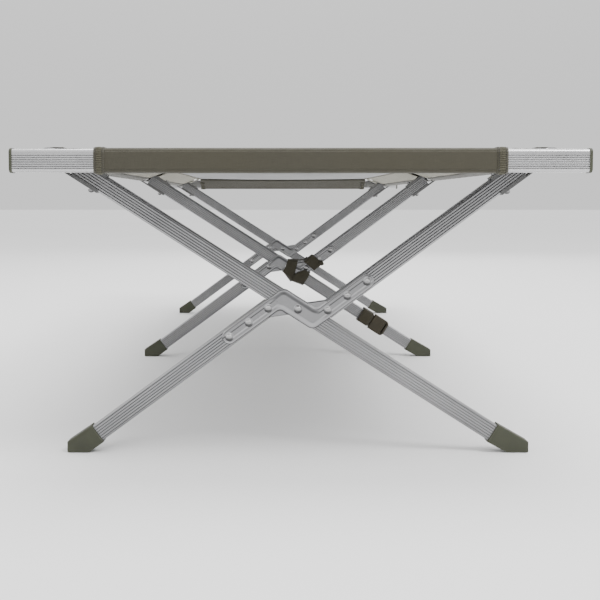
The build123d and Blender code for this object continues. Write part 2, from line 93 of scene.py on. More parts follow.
# ------------------------------------------------------------------ shader graph
class Value:
    """A shader socket that can be written in arithmetic, each operator adding one Math node."""

    def __init__(self, graph: "Graph", socket: bpy.types.NodeSocket) -> None:
        """Wrap a socket.

        Args:
            graph: The graph that the socket belongs to.
            socket: The output socket that carries the value.
        """
        self.graph = graph
        self.socket = socket

    def _math(self, operation: str, *terms: "Value | float") -> "Value":
        """Join terms with one Math node.

        Args:
            operation: The Math node's operation.
            terms: One, two or three values or numbers.

        Returns:
            The node's result.
        """
        inputs = dict(enumerate(terms))
        return self.graph.node("ShaderNodeMath", {"operation": operation}, inputs)

    def __add__(self, other: "Value | float") -> "Value":
        """Sum."""
        return self._math("ADD", self, other)

    __radd__ = __add__

    def __sub__(self, other: "Value | float") -> "Value":
        """Difference."""
        return self._math("SUBTRACT", self, other)

    def __rsub__(self, other: "Value | float") -> "Value":
        """Difference from a number."""
        return self._math("SUBTRACT", other, self)

    def __mul__(self, other: "Value | float") -> "Value":
        """Product."""
        return self._math("MULTIPLY", self, other)

    __rmul__ = __mul__

    def __truediv__(self, other: "Value | float") -> "Value":
        """Quotient."""
        return self._math("DIVIDE", self, other)

    def sine(self) -> "Value":
        """Sine of the value in radians."""
        return self._math("SINE", self)

    def absolute(self) -> "Value":
        """Size of the value without its sign."""
        return self._math("ABSOLUTE", self)

    def clamp(self) -> "Value":
        """The value kept between 0 and 1."""
        return self.graph.node("ShaderNodeClamp", {}, {"Value": self})

    def above(self, edge: float) -> "Value":
        """1 where the value is above the edge, and 0 elsewhere."""
        return self._math("GREATER_THAN", self, edge)

    def ramp(self, low: float, high: float, start: float = 0.0, end: float = 1.0) -> "Value":
        """Map a range smoothly to another.

        Args:
            low: The value that gives start.
            high: The value that gives end.
            start: The result at low.
            end: The result at high.

        Returns:
            The mapped value.
        """
        inputs = {"Value": self, "From Min": low, "From Max": high, "To Min": start, "To Max": end}
        return self.graph.node("ShaderNodeMapRange", {"interpolation_type": "SMOOTHSTEP"}, inputs)


class Graph:
    """A material's node tree with its Principled shader."""

    def __init__(self, name: str) -> None:
        """Make the material.

        Args:
            name: The material's name.
        """
        self.material = bpy.data.materials.new(name)
        self.material.use_nodes = True
        self.tree = self.material.node_tree
        self.shader = self.tree.nodes["Principled BSDF"]

    def node(self, kind: str, settings: dict, inputs: dict, output: int | str = 0) -> Value:
        """Add one node.

        Args:
            kind: The node's type.
            settings: Properties to set before the inputs, with a ramp's stops under "stops".
            inputs: Numbers, tuples or values for its sockets, by name or number.
            output: The output that is returned.

        Returns:
            The chosen output.
        """
        made = self.tree.nodes.new(kind)
        for key, setting in settings.items():
            if key == "stops":
                self._set_stops(made.color_ramp, setting)
            else:
                setattr(made, key, setting)
        for key, given in inputs.items():
            if isinstance(given, Value):
                self.tree.links.new(given.socket, made.inputs[key])
            else:
                made.inputs[key].default_value = given
        return Value(self, made.outputs[output])

    @staticmethod
    def _set_stops(ramp: bpy.types.ColorRamp, stops: Sequence[tuple[float, Colour]]) -> None:
        """Set a colour ramp's stops.

        Args:
            ramp: The ramp.
            stops: Each stop's place and colour.
        """
        while len(ramp.elements) < len(stops):
            ramp.elements.new(0.5)
        for element, (place, colour) in zip(ramp.elements, stops):
            element.position = place
            element.color = (*colour, 1.0)

    def place(self) -> Value:
        """Position on the object at rest, in metres."""
        return self.node("ShaderNodeTexCoord", {}, {}, "Object")

    def chart(self) -> Value:
        """The cloth's own flat coordinates, in metres."""
        return self.node("ShaderNodeUVMap", {"uv_map": "cloth"}, {}, "UV")

    def axis(self, vector: Value, letter: int) -> Value:
        """One number of a vector: 0, 1 or 2."""
        return self.node("ShaderNodeSeparateXYZ", {}, {0: vector}, letter)

    def along(self, vector: Value, direction: Sequence[float]) -> Value:
        """Distance of a vector along a direction."""
        settings = {"operation": "DOT_PRODUCT"}
        return self.node("ShaderNodeVectorMath", settings, {0: vector, 1: tuple(direction)}, "Value")

    def stretched(self, vector: Value, direction: Sequence[float], factor: float) -> Value:
        """Squeeze a vector field along a direction, so that a pattern runs long that way.

        Args:
            vector: The coordinates.
            direction: The unit direction in which the pattern is drawn out.
            factor: How many times longer the pattern becomes.

        Returns:
            The squeezed coordinates.
        """
        part = self.along(vector, direction) * (1.0 / factor - 1.0)
        step = self.node("ShaderNodeVectorMath", {"operation": "SCALE"}, {0: tuple(direction), "Scale": part})
        return self.node("ShaderNodeVectorMath", {"operation": "ADD"}, {0: vector, 1: step})

    def noise(self, vector: Value, scale: float, detail: float = 3.0, rough: float = 0.55) -> Value:
        """Noise from 0 to 1."""
        inputs = {"Vector": vector, "Scale": scale, "Detail": detail, "Roughness": rough}
        return self.node("ShaderNodeTexNoise", {}, inputs, 0)

    def cells(self, vector: Value, scale: float) -> Value:
        """Distance to the nearest of scattered points."""
        return self.node("ShaderNodeTexVoronoi", {}, {"Vector": vector, "Scale": scale}, 0)

    def mix(self, share: Value, first: Value | Colour, second: Value | Colour) -> Value:
        """Blend two colours.

        Args:
            share: How much of the second colour shows.
            first: Colour at 0.
            second: Colour at 1.

        Returns:
            The blended colour.
        """
        ends = [c if isinstance(c, Value) else (*c, 1.0) for c in (first, second)]
        return self.node("ShaderNodeMix", {"data_type": "RGBA"}, {0: share, 6: ends[0], 7: ends[1]}, 2)

    def bump(
        self, height: Value, distance: float, strength: float = 1.0, under: Value | None = None
    ) -> Value:
        """Surface relief.

        Args:
            height: Relief from 0 to 1.
            distance: Depth of the relief in metres.
            strength: Share of the relief that shows.
            under: A coarser relief that this one lies on.

        Returns:
            The bent normal.
        """
        inputs = {"Height": height, "Distance": distance, "Strength": strength}
        if under is not None:
            inputs["Normal"] = under
        return self.node("ShaderNodeBump", {}, inputs)

    def edges(self, spread: float) -> Value:
        """Wear mask that is bright on outer edges.

        Args:
            spread: Width of the worn edge in metres.

        Returns:
            The mask from 0 to 1.
        """
        bevel = self.node("ShaderNodeBevel", {"samples": 4}, {"Radius": spread})
        normal = self.node("ShaderNodeNewGeometry", {}, {}, "Normal")
        dot = self.node("ShaderNodeVectorMath", {"operation": "DOT_PRODUCT"}, {0: bevel, 1: normal}, "Value")
        return dot.ramp(0.995, 0.9)

    def upward(self) -> Value:
        """Mask for painted light and shade: bright on faces that look up and dark on faces that look down."""
        normal = self.node("ShaderNodeNewGeometry", {}, {}, "Normal")
        return self.along(normal, (0.0, 0.0, 1.0)).ramp(-0.38, 0.38)

    def crevices(self, reach: float) -> Value:
        """Mask for painted shade: bright in grooves and inner corners, where walls would shade the surface.

        Args:
            reach: How far a wall may stand to shade the surface, in metres.

        Returns:
            The mask from 0 to 1.
        """
        settings = {"samples": 8, "only_local": True}
        open_share = self.node("ShaderNodeAmbientOcclusion", settings, {"Distance": reach}, "AO")
        return open_share.ramp(0.92, 0.45)

    def finish(self, fixed: dict, varying: dict) -> bpy.types.Material:
        """Set the shader's sockets.

        Args:
            fixed: Numbers and colours that are the same all over.
            varying: Values that change over the surface.

        Returns:
            The finished material.
        """
        for key, given in fixed.items():
            self.shader.inputs[key].default_value = given
        for key, given in varying.items():
            self.tree.links.new(given.socket, self.shader.inputs[key])
        return self.material


# ------------------------------------------------------------------ finishes
@dataclass(frozen=True)
class DrawnAluminium:
    """Anodised aluminium with die lines along its length, faint blotches, rubbed edges and painted shade in its
    grooves.

    Attributes:
        name: The material's name.
        colour: The metal's colour.
        direction: Unit direction of the extrusion.
        rough: Mean roughness.
        rub: How much brighter the rubbed edges are.
        groove_shade: How dark the painted shade in the grooves is.
    """

    name: str
    colour: Colour
    direction: tuple[float, float, float]
    rough: float = 0.36
    rub: float = 0.5
    groove_shade: float = 0.62

    def build(self) -> bpy.types.Material:
        """Make the material.

        Returns:
            The metal.
        """
        g = Graph(self.name)
        place = g.place()
        lines = g.noise(g.stretched(place, self.direction, 300.0), 300.0, 1.0)
        streak = g.noise(g.stretched(place, self.direction, 40.0), 90.0, 3.0)
        cloud = g.noise(place, 9.0, 4.0)
        scratch = g.noise(g.stretched(place, (0.0, 0.6, 0.8), 30.0), 420.0, 1.0).ramp(0.70, 0.76)
        dark = tuple(c * 0.86 for c in self.colour)
        light = tuple(min(1.0, c * 1.12) for c in self.colour)
        worn = tuple(min(1.0, c * 1.9) for c in self.colour)
        tone = g.mix((streak * 0.6 + cloud * 0.4).ramp(0.32, 0.68), dark, light)
        tone = g.mix(g.edges(0.8 * MM) * self.rub, tone, worn)
        tone = g.mix(scratch * 0.15, tone, worn)
        # painted shade: ambient occlusion darkens grooves and inner corners towards a near-black copy of the metal's
        # colour
        tone = g.mix(g.crevices(3.2 * MM) * self.groove_shade, tone, tuple(c * 0.16 for c in self.colour))
        rough = cloud.ramp(0.3, 0.7, self.rough - 0.05, self.rough + 0.06) + (lines - 0.5) * 0.08
        height = lines * 0.6 + streak * 0.4
        fixed = {"Metallic": 1.0}
        return g.finish(
            fixed,
            {"Base Color": tone, "Roughness": rough, "Normal": g.bump(height, 0.02 * MM, 0.2)},
        )


@dataclass(frozen=True)
class PlatedSteel:
    """Zinc-plated pressed steel: satin, with a fine grain, soft blotches, bright worn edges, painted light on faces
    that look up, and painted shade on faces that look down and in crevices.

    Attributes:
        name: The material's name.
        colour: The plating's colour.
        rough: Mean roughness.
        grain: Relief of the plating's grain in metres.
    """

    name: str
    colour: Colour
    rough: float = 0.34
    grain: float = 0.03 * MM

    def build(self) -> bpy.types.Material:
        """Make the material.

        Returns:
            The metal.
        """
        g = Graph(self.name)
        place = g.place()
        grain = g.noise(place, 1400.0, 2.0)
        cloud = g.noise(place, 38.0, 4.0)
        spots = g.cells(place, 260.0)
        dark = tuple(c * 0.90 for c in self.colour)
        light = tuple(min(1.0, c * 1.08) for c in self.colour)
        tone = g.mix((cloud * 0.85 + spots * 0.15).ramp(0.25, 0.75), dark, light)
        tone = g.mix(g.edges(0.7 * MM) * 0.5, tone, tuple(min(1.0, c * 1.9) for c in self.colour))
        # painted light and shade: faces that look up get a lighter copy of the plating's colour, faces that look down
        # a darker copy
        shade = g.mix(
            g.upward(),
            tuple(c * 0.30 for c in self.colour),
            tuple(min(1.0, c * 1.9) for c in self.colour),
        )
        tone = g.mix(g.upward().ramp(0.35, 0.5) * g.upward().ramp(0.65, 0.5), shade, tone)
        # painted shade: ambient occlusion darkens crevices and inner corners of the plating
        tone = g.mix(g.crevices(4.0 * MM) * 0.6, tone, tuple(c * 0.25 for c in self.colour))
        rough = cloud.ramp(0.3, 0.7, self.rough - 0.06, self.rough + 0.10) + (grain - 0.5) * 0.08
        return g.finish(
            {"Metallic": 1.0},
            {"Base Color": tone, "Roughness": rough, "Normal": g.bump(grain, self.grain, 0.6)},
        )


@dataclass(frozen=True)
class MouldedPlastic:
    """Moulded plastic with a fine spark-eroded texture, uneven sheen and paler scuffed edges.

    Attributes:
        name: The material's name.
        colour: The plastic's colour.
        scuff: Colour of scuffed edges.
        rough: Mean roughness.
        texture: Depth of the surface texture in metres.
    """

    name: str
    colour: Colour
    scuff: Colour
    rough: float = 0.5
    texture: float = 0.08 * MM

    def build(self) -> bpy.types.Material:
        """Make the material.

        Returns:
            The plastic.
        """
        g = Graph(self.name)
        place = g.place()
        pits = g.cells(place, 1500.0)
        cloud = g.noise(place, 30.0, 4.0)
        fine = g.noise(place, 700.0, 2.0)
        dark = tuple(c * 0.82 for c in self.colour)
        light = tuple(c * 1.14 for c in self.colour)
        tone = g.mix(cloud.ramp(0.3, 0.7), dark, light)
        tone = g.mix(g.edges(0.9 * MM) * 0.55, tone, self.scuff)
        rough = cloud.ramp(0.3, 0.7, self.rough - 0.06, self.rough + 0.08) + (fine - 0.5) * 0.10
        normal = g.bump(pits * 0.6 + fine * 0.4, self.texture, 0.55)
        fixed = {"Specular IOR Level": 0.4}
        return g.finish(fixed, {"Base Color": tone, "Roughness": rough, "Normal": normal})


@dataclass(frozen=True)
class Canvas:
    """Plain-woven polyester canvas: crossing yarns, slubs, soft shading and rubbed folds.

    Attributes:
        name: The material's name.
        colour: The cloth's colour.
        pitch: Distance between yarns in metres.
        relief: Height of a yarn in metres.
        rough: Roughness.
        sheen: Weight of the fibres' sheen.
    """

    name: str
    colour: Colour
    pitch: float = 0.9 * MM
    relief: float = 0.16 * MM
    rough: float = 0.82
    sheen: float = 0.25

    def build(self) -> bpy.types.Material:
        """Make the material.

        Returns:
            The cloth.
        """
        g = Graph(self.name)
        chart = g.chart()
        turns = 2.0 * math.pi / self.pitch
        warp = (g.axis(chart, 0) * turns).sine()
        weft = (g.axis(chart, 1) * turns).sine()
        weave = warp * weft * 0.5 + 0.5
        yarns = (warp.absolute() + weft.absolute()) * 0.5
        slub = g.noise(g.stretched(chart, (1.0, 0.0, 0.0), 22.0), 1500.0, 2.0)
        slub = slub + g.noise(g.stretched(chart, (0.0, 1.0, 0.0), 22.0), 1500.0, 2.0)
        fleck = g.noise(chart, 900.0, 2.0)
        cloud = g.noise(g.place(), 7.0, 4.0)
        dark = tuple(c * 0.70 for c in self.colour)
        light = tuple(min(1.0, c * 1.22) for c in self.colour)
        pale = tuple(min(1.0, c * 1.55) for c in self.colour)
        shade = (slub * 0.28 + weave * 0.22 + cloud * 0.32 + fleck * 0.18).ramp(0.34, 0.76)
        tone = g.mix(shade, dark, light)
        tone = g.mix(g.edges(1.2 * MM) * 0.35, tone, pale)
        rough = cloud.ramp(0.3, 0.7, self.rough - 0.07, self.rough + 0.06)
        folds = g.bump(g.noise(g.place(), 26.0, 3.0), 0.9 * MM, 0.35)
        normal = g.bump(weave * 0.5 + yarns * 0.3 + slub * 0.1, self.relief, 0.8, folds)
        fixed = {"Sheen Weight": self.sheen, "Sheen Roughness": 0.5, "Specular IOR Level": 0.3}
        return g.finish(fixed, {"Base Color": tone, "Roughness": rough, "Normal": normal})


@dataclass(frozen=True)
class CoatedBacking:
    """The cover's underside: canvas under a thin grey coating that fills the weave and gleams a little.

    Attributes:
        name: The material's name.
        colour: The coating's colour.
    """

    name: str
    colour: Colour

    def build(self) -> bpy.types.Material:
        """Make the material.

        Returns:
            The coated cloth.
        """
        g = Graph(self.name)
        chart = g.chart()
        turns = 2.0 * math.pi / (0.9 * MM)
        weave = (g.axis(chart, 0) * turns).sine() * (g.axis(chart, 1) * turns).sine() * 0.5 + 0.5
        cloud = g.noise(g.place(), 9.0, 4.0)
        crease = g.noise(g.place(), 60.0, 2.0)
        dark = tuple(c * 0.86 for c in self.colour)
        light = tuple(min(1.0, c * 1.08) for c in self.colour)
        tone = g.mix((cloud * 0.7 + weave * 0.15 + crease * 0.15).ramp(0.32, 0.68), dark, light)
        rough = cloud.ramp(0.3, 0.7, 0.44, 0.58)
        folds = g.bump(crease, 0.5 * MM, 0.3)
        return g.finish(
            {},
            {"Base Color": tone, "Roughness": rough, "Normal": g.bump(weave, 0.07 * MM, 0.6, folds)},
        )


@dataclass(frozen=True)
class Tape:
    """Woven webbing: ribs across its width, bound edges and a slight fuzz.

    Attributes:
        name: The material's name.
        colour: The webbing's colour.
        width: The webbing's width in metres.
    """

    name: str
    colour: Colour
    width: float = 25.0 * MM

    def build(self) -> bpy.types.Material:
        """Make the material.

        Returns:
            The webbing.
        """
        g = Graph(self.name)
        chart = g.chart()
        across, along = g.axis(chart, 0), g.axis(chart, 1)
        rib = (across * (2.0 * math.pi / (2.1 * MM))).sine()
        pick = (along * (2.0 * math.pi / (1.3 * MM)) + rib * 1.5).sine()
        weave = (rib * 0.5 + 0.5) * 0.6 + (pick * 0.5 + 0.5) * 0.4
        selvage = (across.absolute() - self.width * 0.42).above(0.0)
        fuzz = g.noise(chart, 1300.0, 2.0)
        cloud = g.noise(g.place(), 40.0, 3.0)
        dark = tuple(c * 0.60 for c in self.colour)
        light = tuple(c * 1.45 for c in self.colour)
        tone = g.mix((weave * 0.5 + fuzz * 0.3 + cloud * 0.2).ramp(0.25, 0.8), dark, light)
        tone = g.mix(selvage * 0.35, tone, dark)
        rough = cloud.ramp(0.3, 0.7, 0.72, 0.88)
        fixed = {"Sheen Weight": 0.2, "Specular IOR Level": 0.3}
        return g.finish(
            fixed,
            {"Base Color": tone, "Roughness": rough, "Normal": g.bump(weave, 0.35 * MM, 0.8)},
        )


@dataclass(frozen=True)
class Thread:
    """Sewing thread, twisted and a little shiny.

    Attributes:
        name: The material's name.
        colour: The thread's colour.
    """

    name: str
    colour: Colour

    def build(self) -> bpy.types.Material:
        """Make the material.

        Returns:
            The thread.
        """
        g = Graph(self.name)
        place = g.place()
        twist = g.noise(place, 3200.0, 1.0)
        tone = g.mix(twist.ramp(0.3, 0.7), tuple(c * 0.7 for c in self.colour), self.colour)
        return g.finish({}, {"Base Color": tone, "Roughness": twist.ramp(0.2, 0.8, 0.5, 0.7)})


# ------------------------------------------------------------------ mesh building
class Workshop:
    """Turns arrays of points into pieces of the cot."""

    @staticmethod
    def piece(
        name: str,
        points: np.ndarray,
        faces: Sequence[Sequence[int]],
        materials: Sequence[bpy.types.Material],
        chart: np.ndarray | None = None,
        slots: Sequence[int] | None = None,
    ) -> bpy.types.Object:
        """Make one mesh object.

        Args:
            name: The piece's name.
            points: Its vertices in metres.
            faces: Vertex numbers of each face.
            materials: Its materials.
            chart: Flat coordinates of each vertex.
            slots: Material number of each face.

        Returns:
            The object, smooth-shaded.
        """
        mesh = bpy.data.meshes.new(name)
        mesh.from_pydata([tuple(p) for p in points], [], [tuple(f) for f in faces])
        for material in materials:
            mesh.materials.append(material)
        mesh.polygons.foreach_set("use_smooth", [True] * len(mesh.polygons))
        if slots is not None:
            mesh.polygons.foreach_set("material_index", list(slots))
        if chart is not None:
            layer = mesh.uv_layers.new(name="cloth")
            corner = np.zeros(len(mesh.loops), np.int32)
            mesh.loops.foreach_get("vertex_index", corner)
            layer.data.foreach_set("uv", np.asarray(chart, np.float32)[corner].ravel())
        mesh.validate()
        mesh.update()
        made = bpy.data.objects.new(name, mesh)
        bpy.context.scene.collection.objects.link(made)
        return made

    @staticmethod
    def face_out(piece: bpy.types.Object) -> None:
        """Turn every face of a closed piece outwards.

        Args:
            piece: The piece.
        """
        shape = bmesh.new()
        shape.from_mesh(piece.data)
        bmesh.ops.recalc_face_normals(shape, faces=shape.faces)
        shape.to_mesh(piece.data)
        shape.free()

    @staticmethod
    def normals(grid: np.ndarray) -> np.ndarray:
        """Unit normals of a grid of points.

        Args:
            grid: Points, rows by columns by 3.

        Returns:
            A unit normal for each point.
        """
        across = np.gradient(grid, axis=0)
        along = np.gradient(grid, axis=1)
        normal = np.cross(across, along)
        return normal / np.maximum(np.linalg.norm(normal, axis=2, keepdims=True), 1e-12)

    @classmethod
    def cloth(
        cls,
        name: str,
        grid: np.ndarray,
        thickness: float,
        face: bpy.types.Material,
        back: bpy.types.Material | None = None,
        chart: np.ndarray | None = None,
    ) -> bpy.types.Object:
        """Make a closed sheet of even thickness round a grid of points.

        Args:
            name: The piece's name.
            grid: Middle surface, rows by columns by 3.
            thickness: The cloth's thickness in metres.
            face: Material of the side that the normals point to, and of the rim.
            back: Material of the other side.
            chart: Flat coordinates of the grid, rows by columns by 2, measured along it if left out.

        Returns:
            The sheet.
        """
        rows, columns = grid.shape[:2]
        normal = cls.normals(grid)
        points = np.concatenate([(grid + normal * thickness / 2), (grid - normal * thickness / 2)])
        points = points.reshape(-1, 3)
        if chart is None:
            u = np.concatenate(
                [[0], np.cumsum(np.linalg.norm(np.diff(grid[:, columns // 2], axis=0), axis=1))]
            )
            v = np.concatenate([[0], np.cumsum(np.linalg.norm(np.diff(grid[rows // 2], axis=0), axis=1))])
            chart = np.stack(np.meshgrid(u, v, indexing="ij"), axis=2)
        chart = np.concatenate([chart.reshape(-1, 2)] * 2)
        index = np.arange(rows * columns).reshape(rows, columns)
        under = index + rows * columns
        a, b, c, d = index[:-1, :-1], index[1:, :-1], index[1:, 1:], index[:-1, 1:]
        top = np.stack([a, b, c, d], axis=2).reshape(-1, 4)
        bottom = top[:, ::-1] + rows * columns
        loop = np.concatenate([index[0, :], index[1:, -1], index[-1, -2::-1], index[-2:0:-1, 0]])
        other = np.concatenate([under[0, :], under[1:, -1], under[-1, -2::-1], under[-2:0:-1, 0]])
        rim = np.stack([loop, np.roll(loop, -1), np.roll(other, -1), other], axis=1)
        faces = np.concatenate([top, bottom, rim]).tolist()
        slots = [0] * len(top) + [1 if back else 0] * len(bottom) + [0] * len(rim)
        materials = [face] + ([back] if back else [])
        return cls.piece(name, points, faces, materials, chart, slots)

    @classmethod
    def stitches(
        cls,
        name: str,
        path: np.ndarray,
        out: np.ndarray,
        thread: bpy.types.Material,
        pitch: float = 4.2 * MM,
        radius: float = 0.45 * MM,
    ) -> bpy.types.Object:
        """Make a row of stitches along a path.

        Args:
            name: The piece's name.
            path: Points of the row in metres.
            out: Outward unit normal of the cloth at each point.
            thread: The thread's material.
            pitch: Length from one stitch to the next.
            radius: The thread's radius.

        Returns:
            The row as one object.
        """
        gaps = np.linalg.norm(np.diff(path, axis=0), axis=1)
        travel = np.concatenate([[0], np.cumsum(gaps)])
        count = max(1, int(travel[-1] / pitch))
        starts = (np.arange(count) + 0.18) * travel[-1] / count
        at = (starts[:, None] + STITCH_STEPS[None, :] * 0.64 * travel[-1] / count).ravel()
        centre, up = (
            np.stack([np.interp(at, travel, a[:, k]) for k in range(3)], axis=1) for a in (path, out)
        )
        shape = (count, len(STITCH_STEPS), 3)
        return cls.threads(name, centre.reshape(shape), up.reshape(shape), thread, radius)

    @classmethod
    def threads(
        cls, name: str, centre: np.ndarray, up: np.ndarray, thread: bpy.types.Material, radius: float
    ) -> bpy.types.Object:
        """Make many short threads, each rising out of the cloth and back into it.

        Args:
            name: The piece's name.
            centre: Points of each thread, threads by steps by 3.
            up: Outward unit normals of the cloth at those points.
            thread: The thread's material.
            radius: The thread's radius.

        Returns:
            All the threads as one object.
        """
        count, rings = centre.shape[:2]
        side = np.cross(np.gradient(centre, axis=1), up)
        side /= np.maximum(np.linalg.norm(side, axis=2, keepdims=True), 1e-12)
        centre = centre + up * (STITCH_LIFT * radius)[None, :, None]
        sides = 6
        turn = np.arange(sides) * 2 * np.pi / sides
        ring = side[:, :, None, :] * np.cos(turn)[:, None] + up[:, :, None, :] * np.sin(turn)[:, None]
        points = (centre[:, :, None, :] + ring * (STITCH_GIRTH * radius)[None, :, None, None]).reshape(-1, 3)
        faces = []
        for base in range(0, count * rings * sides, rings * sides):
            for r in range(rings - 1):
                for k in range(sides):
                    a, b = base + r * sides + k, base + r * sides + (k + 1) % sides
                    faces.append((a, a + sides, b + sides, b))
            faces.append([base + k for k in range(sides)])
            faces.append([base + (rings - 1) * sides + k for k in reversed(range(sides))])
        return cls.piece(name, points, faces, [thread])

    @classmethod
    def ribbon(
        cls,
        name: str,
        path: np.ndarray,
        face: np.ndarray,
        width: float | np.ndarray,
        thickness: float,
        material: bpy.types.Material,
        closed: bool = False,
    ) -> bpy.types.Object:
        """Make a flat webbing along a path.

        Args:
            name: The piece's name.
            path: Centre points in metres.
            face: Outward unit normal of the flat side at each point.
            width: The webbing's width.
            thickness: Its thickness.
            material: Its material.
            closed: Whether the ends meet.

        Returns:
            The webbing.
        """
        count = len(path)
        if closed:
            ahead = np.roll(path, -1, axis=0) - np.roll(path, 1, axis=0)
        else:
            ahead = np.gradient(path, axis=0)
        ahead /= np.linalg.norm(ahead, axis=1, keepdims=True)
        across = np.cross(ahead, face)
        across /= np.linalg.norm(across, axis=1, keepdims=True)
        out = np.cross(across, ahead)
        stations = np.array([-0.5, -0.47, -0.30, -0.1, 0.1, 0.30, 0.47, 0.5])
        plump = np.array([0.25, 0.46, 0.5, 0.5, 0.5, 0.5, 0.46, 0.25])
        sections = [(s, p) for s, p in zip(stations, plump)] + [
            (s, -p) for s, p in zip(stations[::-1], plump[::-1])
        ]
        ring = len(sections)
        width = np.broadcast_to(np.asarray(width, float), (count,))[:, None]
        points = np.stack([path + across * s * width + out * p * thickness for s, p in sections], axis=1)
        travel = np.concatenate([[0], np.cumsum(np.linalg.norm(np.diff(path, axis=0), axis=1))])
        chart = np.stack(
            np.broadcast_arrays(width * np.array([s for s, _ in sections]), travel[:, None]), axis=2
        )
        faces = []
        for i in range(count if closed else count - 1):
            j = (i + 1) % count
            for k in range(ring):
                m = (k + 1) % ring
                faces.append((i * ring + k, i * ring + m, j * ring + m, j * ring + k))
        if not closed:
            faces.append(list(range(ring))[::-1])
            faces.append([(count - 1) * ring + k for k in range(ring)])
        return cls.piece(name, points.reshape(-1, 3), faces, [material], chart.reshape(-1, 2))


def smooth_path(knots: np.ndarray, steps: int, closed: bool = False) -> np.ndarray:
    """Round a polyline into a smooth curve through its knots (Catmull-Rom).

    Args:
        knots: Corner values, one row each.
        steps: Points made between each pair of knots.
        closed: Whether the curve joins its own start.

    Returns:
        The curve's points.
    """
    count = len(knots)
    spans = count if closed else count - 1
    share = np.linspace(0, 1, steps, endpoint=False)[:, None]
    made = []
    for i in range(spans):
        if closed:
            p0, p1, p2, p3 = (knots[(i + k - 1) % count] for k in range(4))
        else:
            p0, p1, p2, p3 = (knots[min(max(i + k - 1, 0), count - 1)] for k in range(4))
        made.append(0.5 * (2 * p1 + (p2 - p0) * share + (2 * p0 - 5 * p1 + 4 * p2 - p3) * share**2
                           + (3 * p1 - p0 - 3 * p2 + p3) * share**3))
    if not closed:
        made.append(knots[-1][None, :])
    return np.concatenate(made)


# ------------------------------------------------------------------ palette
@dataclass
class Palette:
    """Every finish of the cot, made once."""

    made: dict[str, bpy.types.Material] = field(default_factory=dict)

    def __post_init__(self) -> None:
        """Make the finishes."""
        lean = math.radians(32.6)
        split = math.radians(36.42)
        finishes = [
            DrawnAluminium("long_leg_metal", (0.30, 0.30, 0.305), (math.cos(lean), 0.0, -math.sin(lean))),
            DrawnAluminium("half_leg_metal", (0.29, 0.29, 0.295), (math.cos(split), 0.0, math.sin(split))),
            DrawnAluminium("rail_metal", (0.42, 0.42, 0.425), (0.0, 1.0, 0.0)),
            DrawnAluminium("bar_metal", (0.50, 0.50, 0.505), (1.0, 0.0, 0.0), 0.33),
            PlatedSteel("plate_metal", (0.255, 0.255, 0.26), 0.33),
            PlatedSteel("rivet_metal", (0.34, 0.34, 0.34), 0.27, 0.02 * MM),
            PlatedSteel("bracket_metal", (0.135, 0.135, 0.135), 0.38),
            PlatedSteel("hinge_metal", (0.30, 0.30, 0.30), 0.34),
            MouldedPlastic("olive_cap_plastic", (0.040, 0.043, 0.026), (0.10, 0.10, 0.075), 0.52),
            MouldedPlastic("buckle_plastic", (0.027, 0.021, 0.009), (0.08, 0.07, 0.04), 0.40, 0.05 * MM),
            Canvas("olive_canvas", (0.041, 0.0375, 0.025)),
            Canvas("olive_hem_canvas", (0.19, 0.178, 0.125), rough=0.75),
            CoatedBacking("grey_backing", (0.26, 0.26, 0.265)),
            Tape("strap_webbing_cloth", (0.036, 0.031, 0.018)),
            Thread("olive_thread", (0.10, 0.094, 0.060)),
            Thread("dark_thread", (0.022, 0.020, 0.017)),
        ]
        for finish in finishes:
            self.made[finish.name] = finish.build()
            LOG.info("finish %s", finish.name)

    def __getitem__(self, name: str) -> bpy.types.Material:
        """The material of that name."""
        return self.made[name]


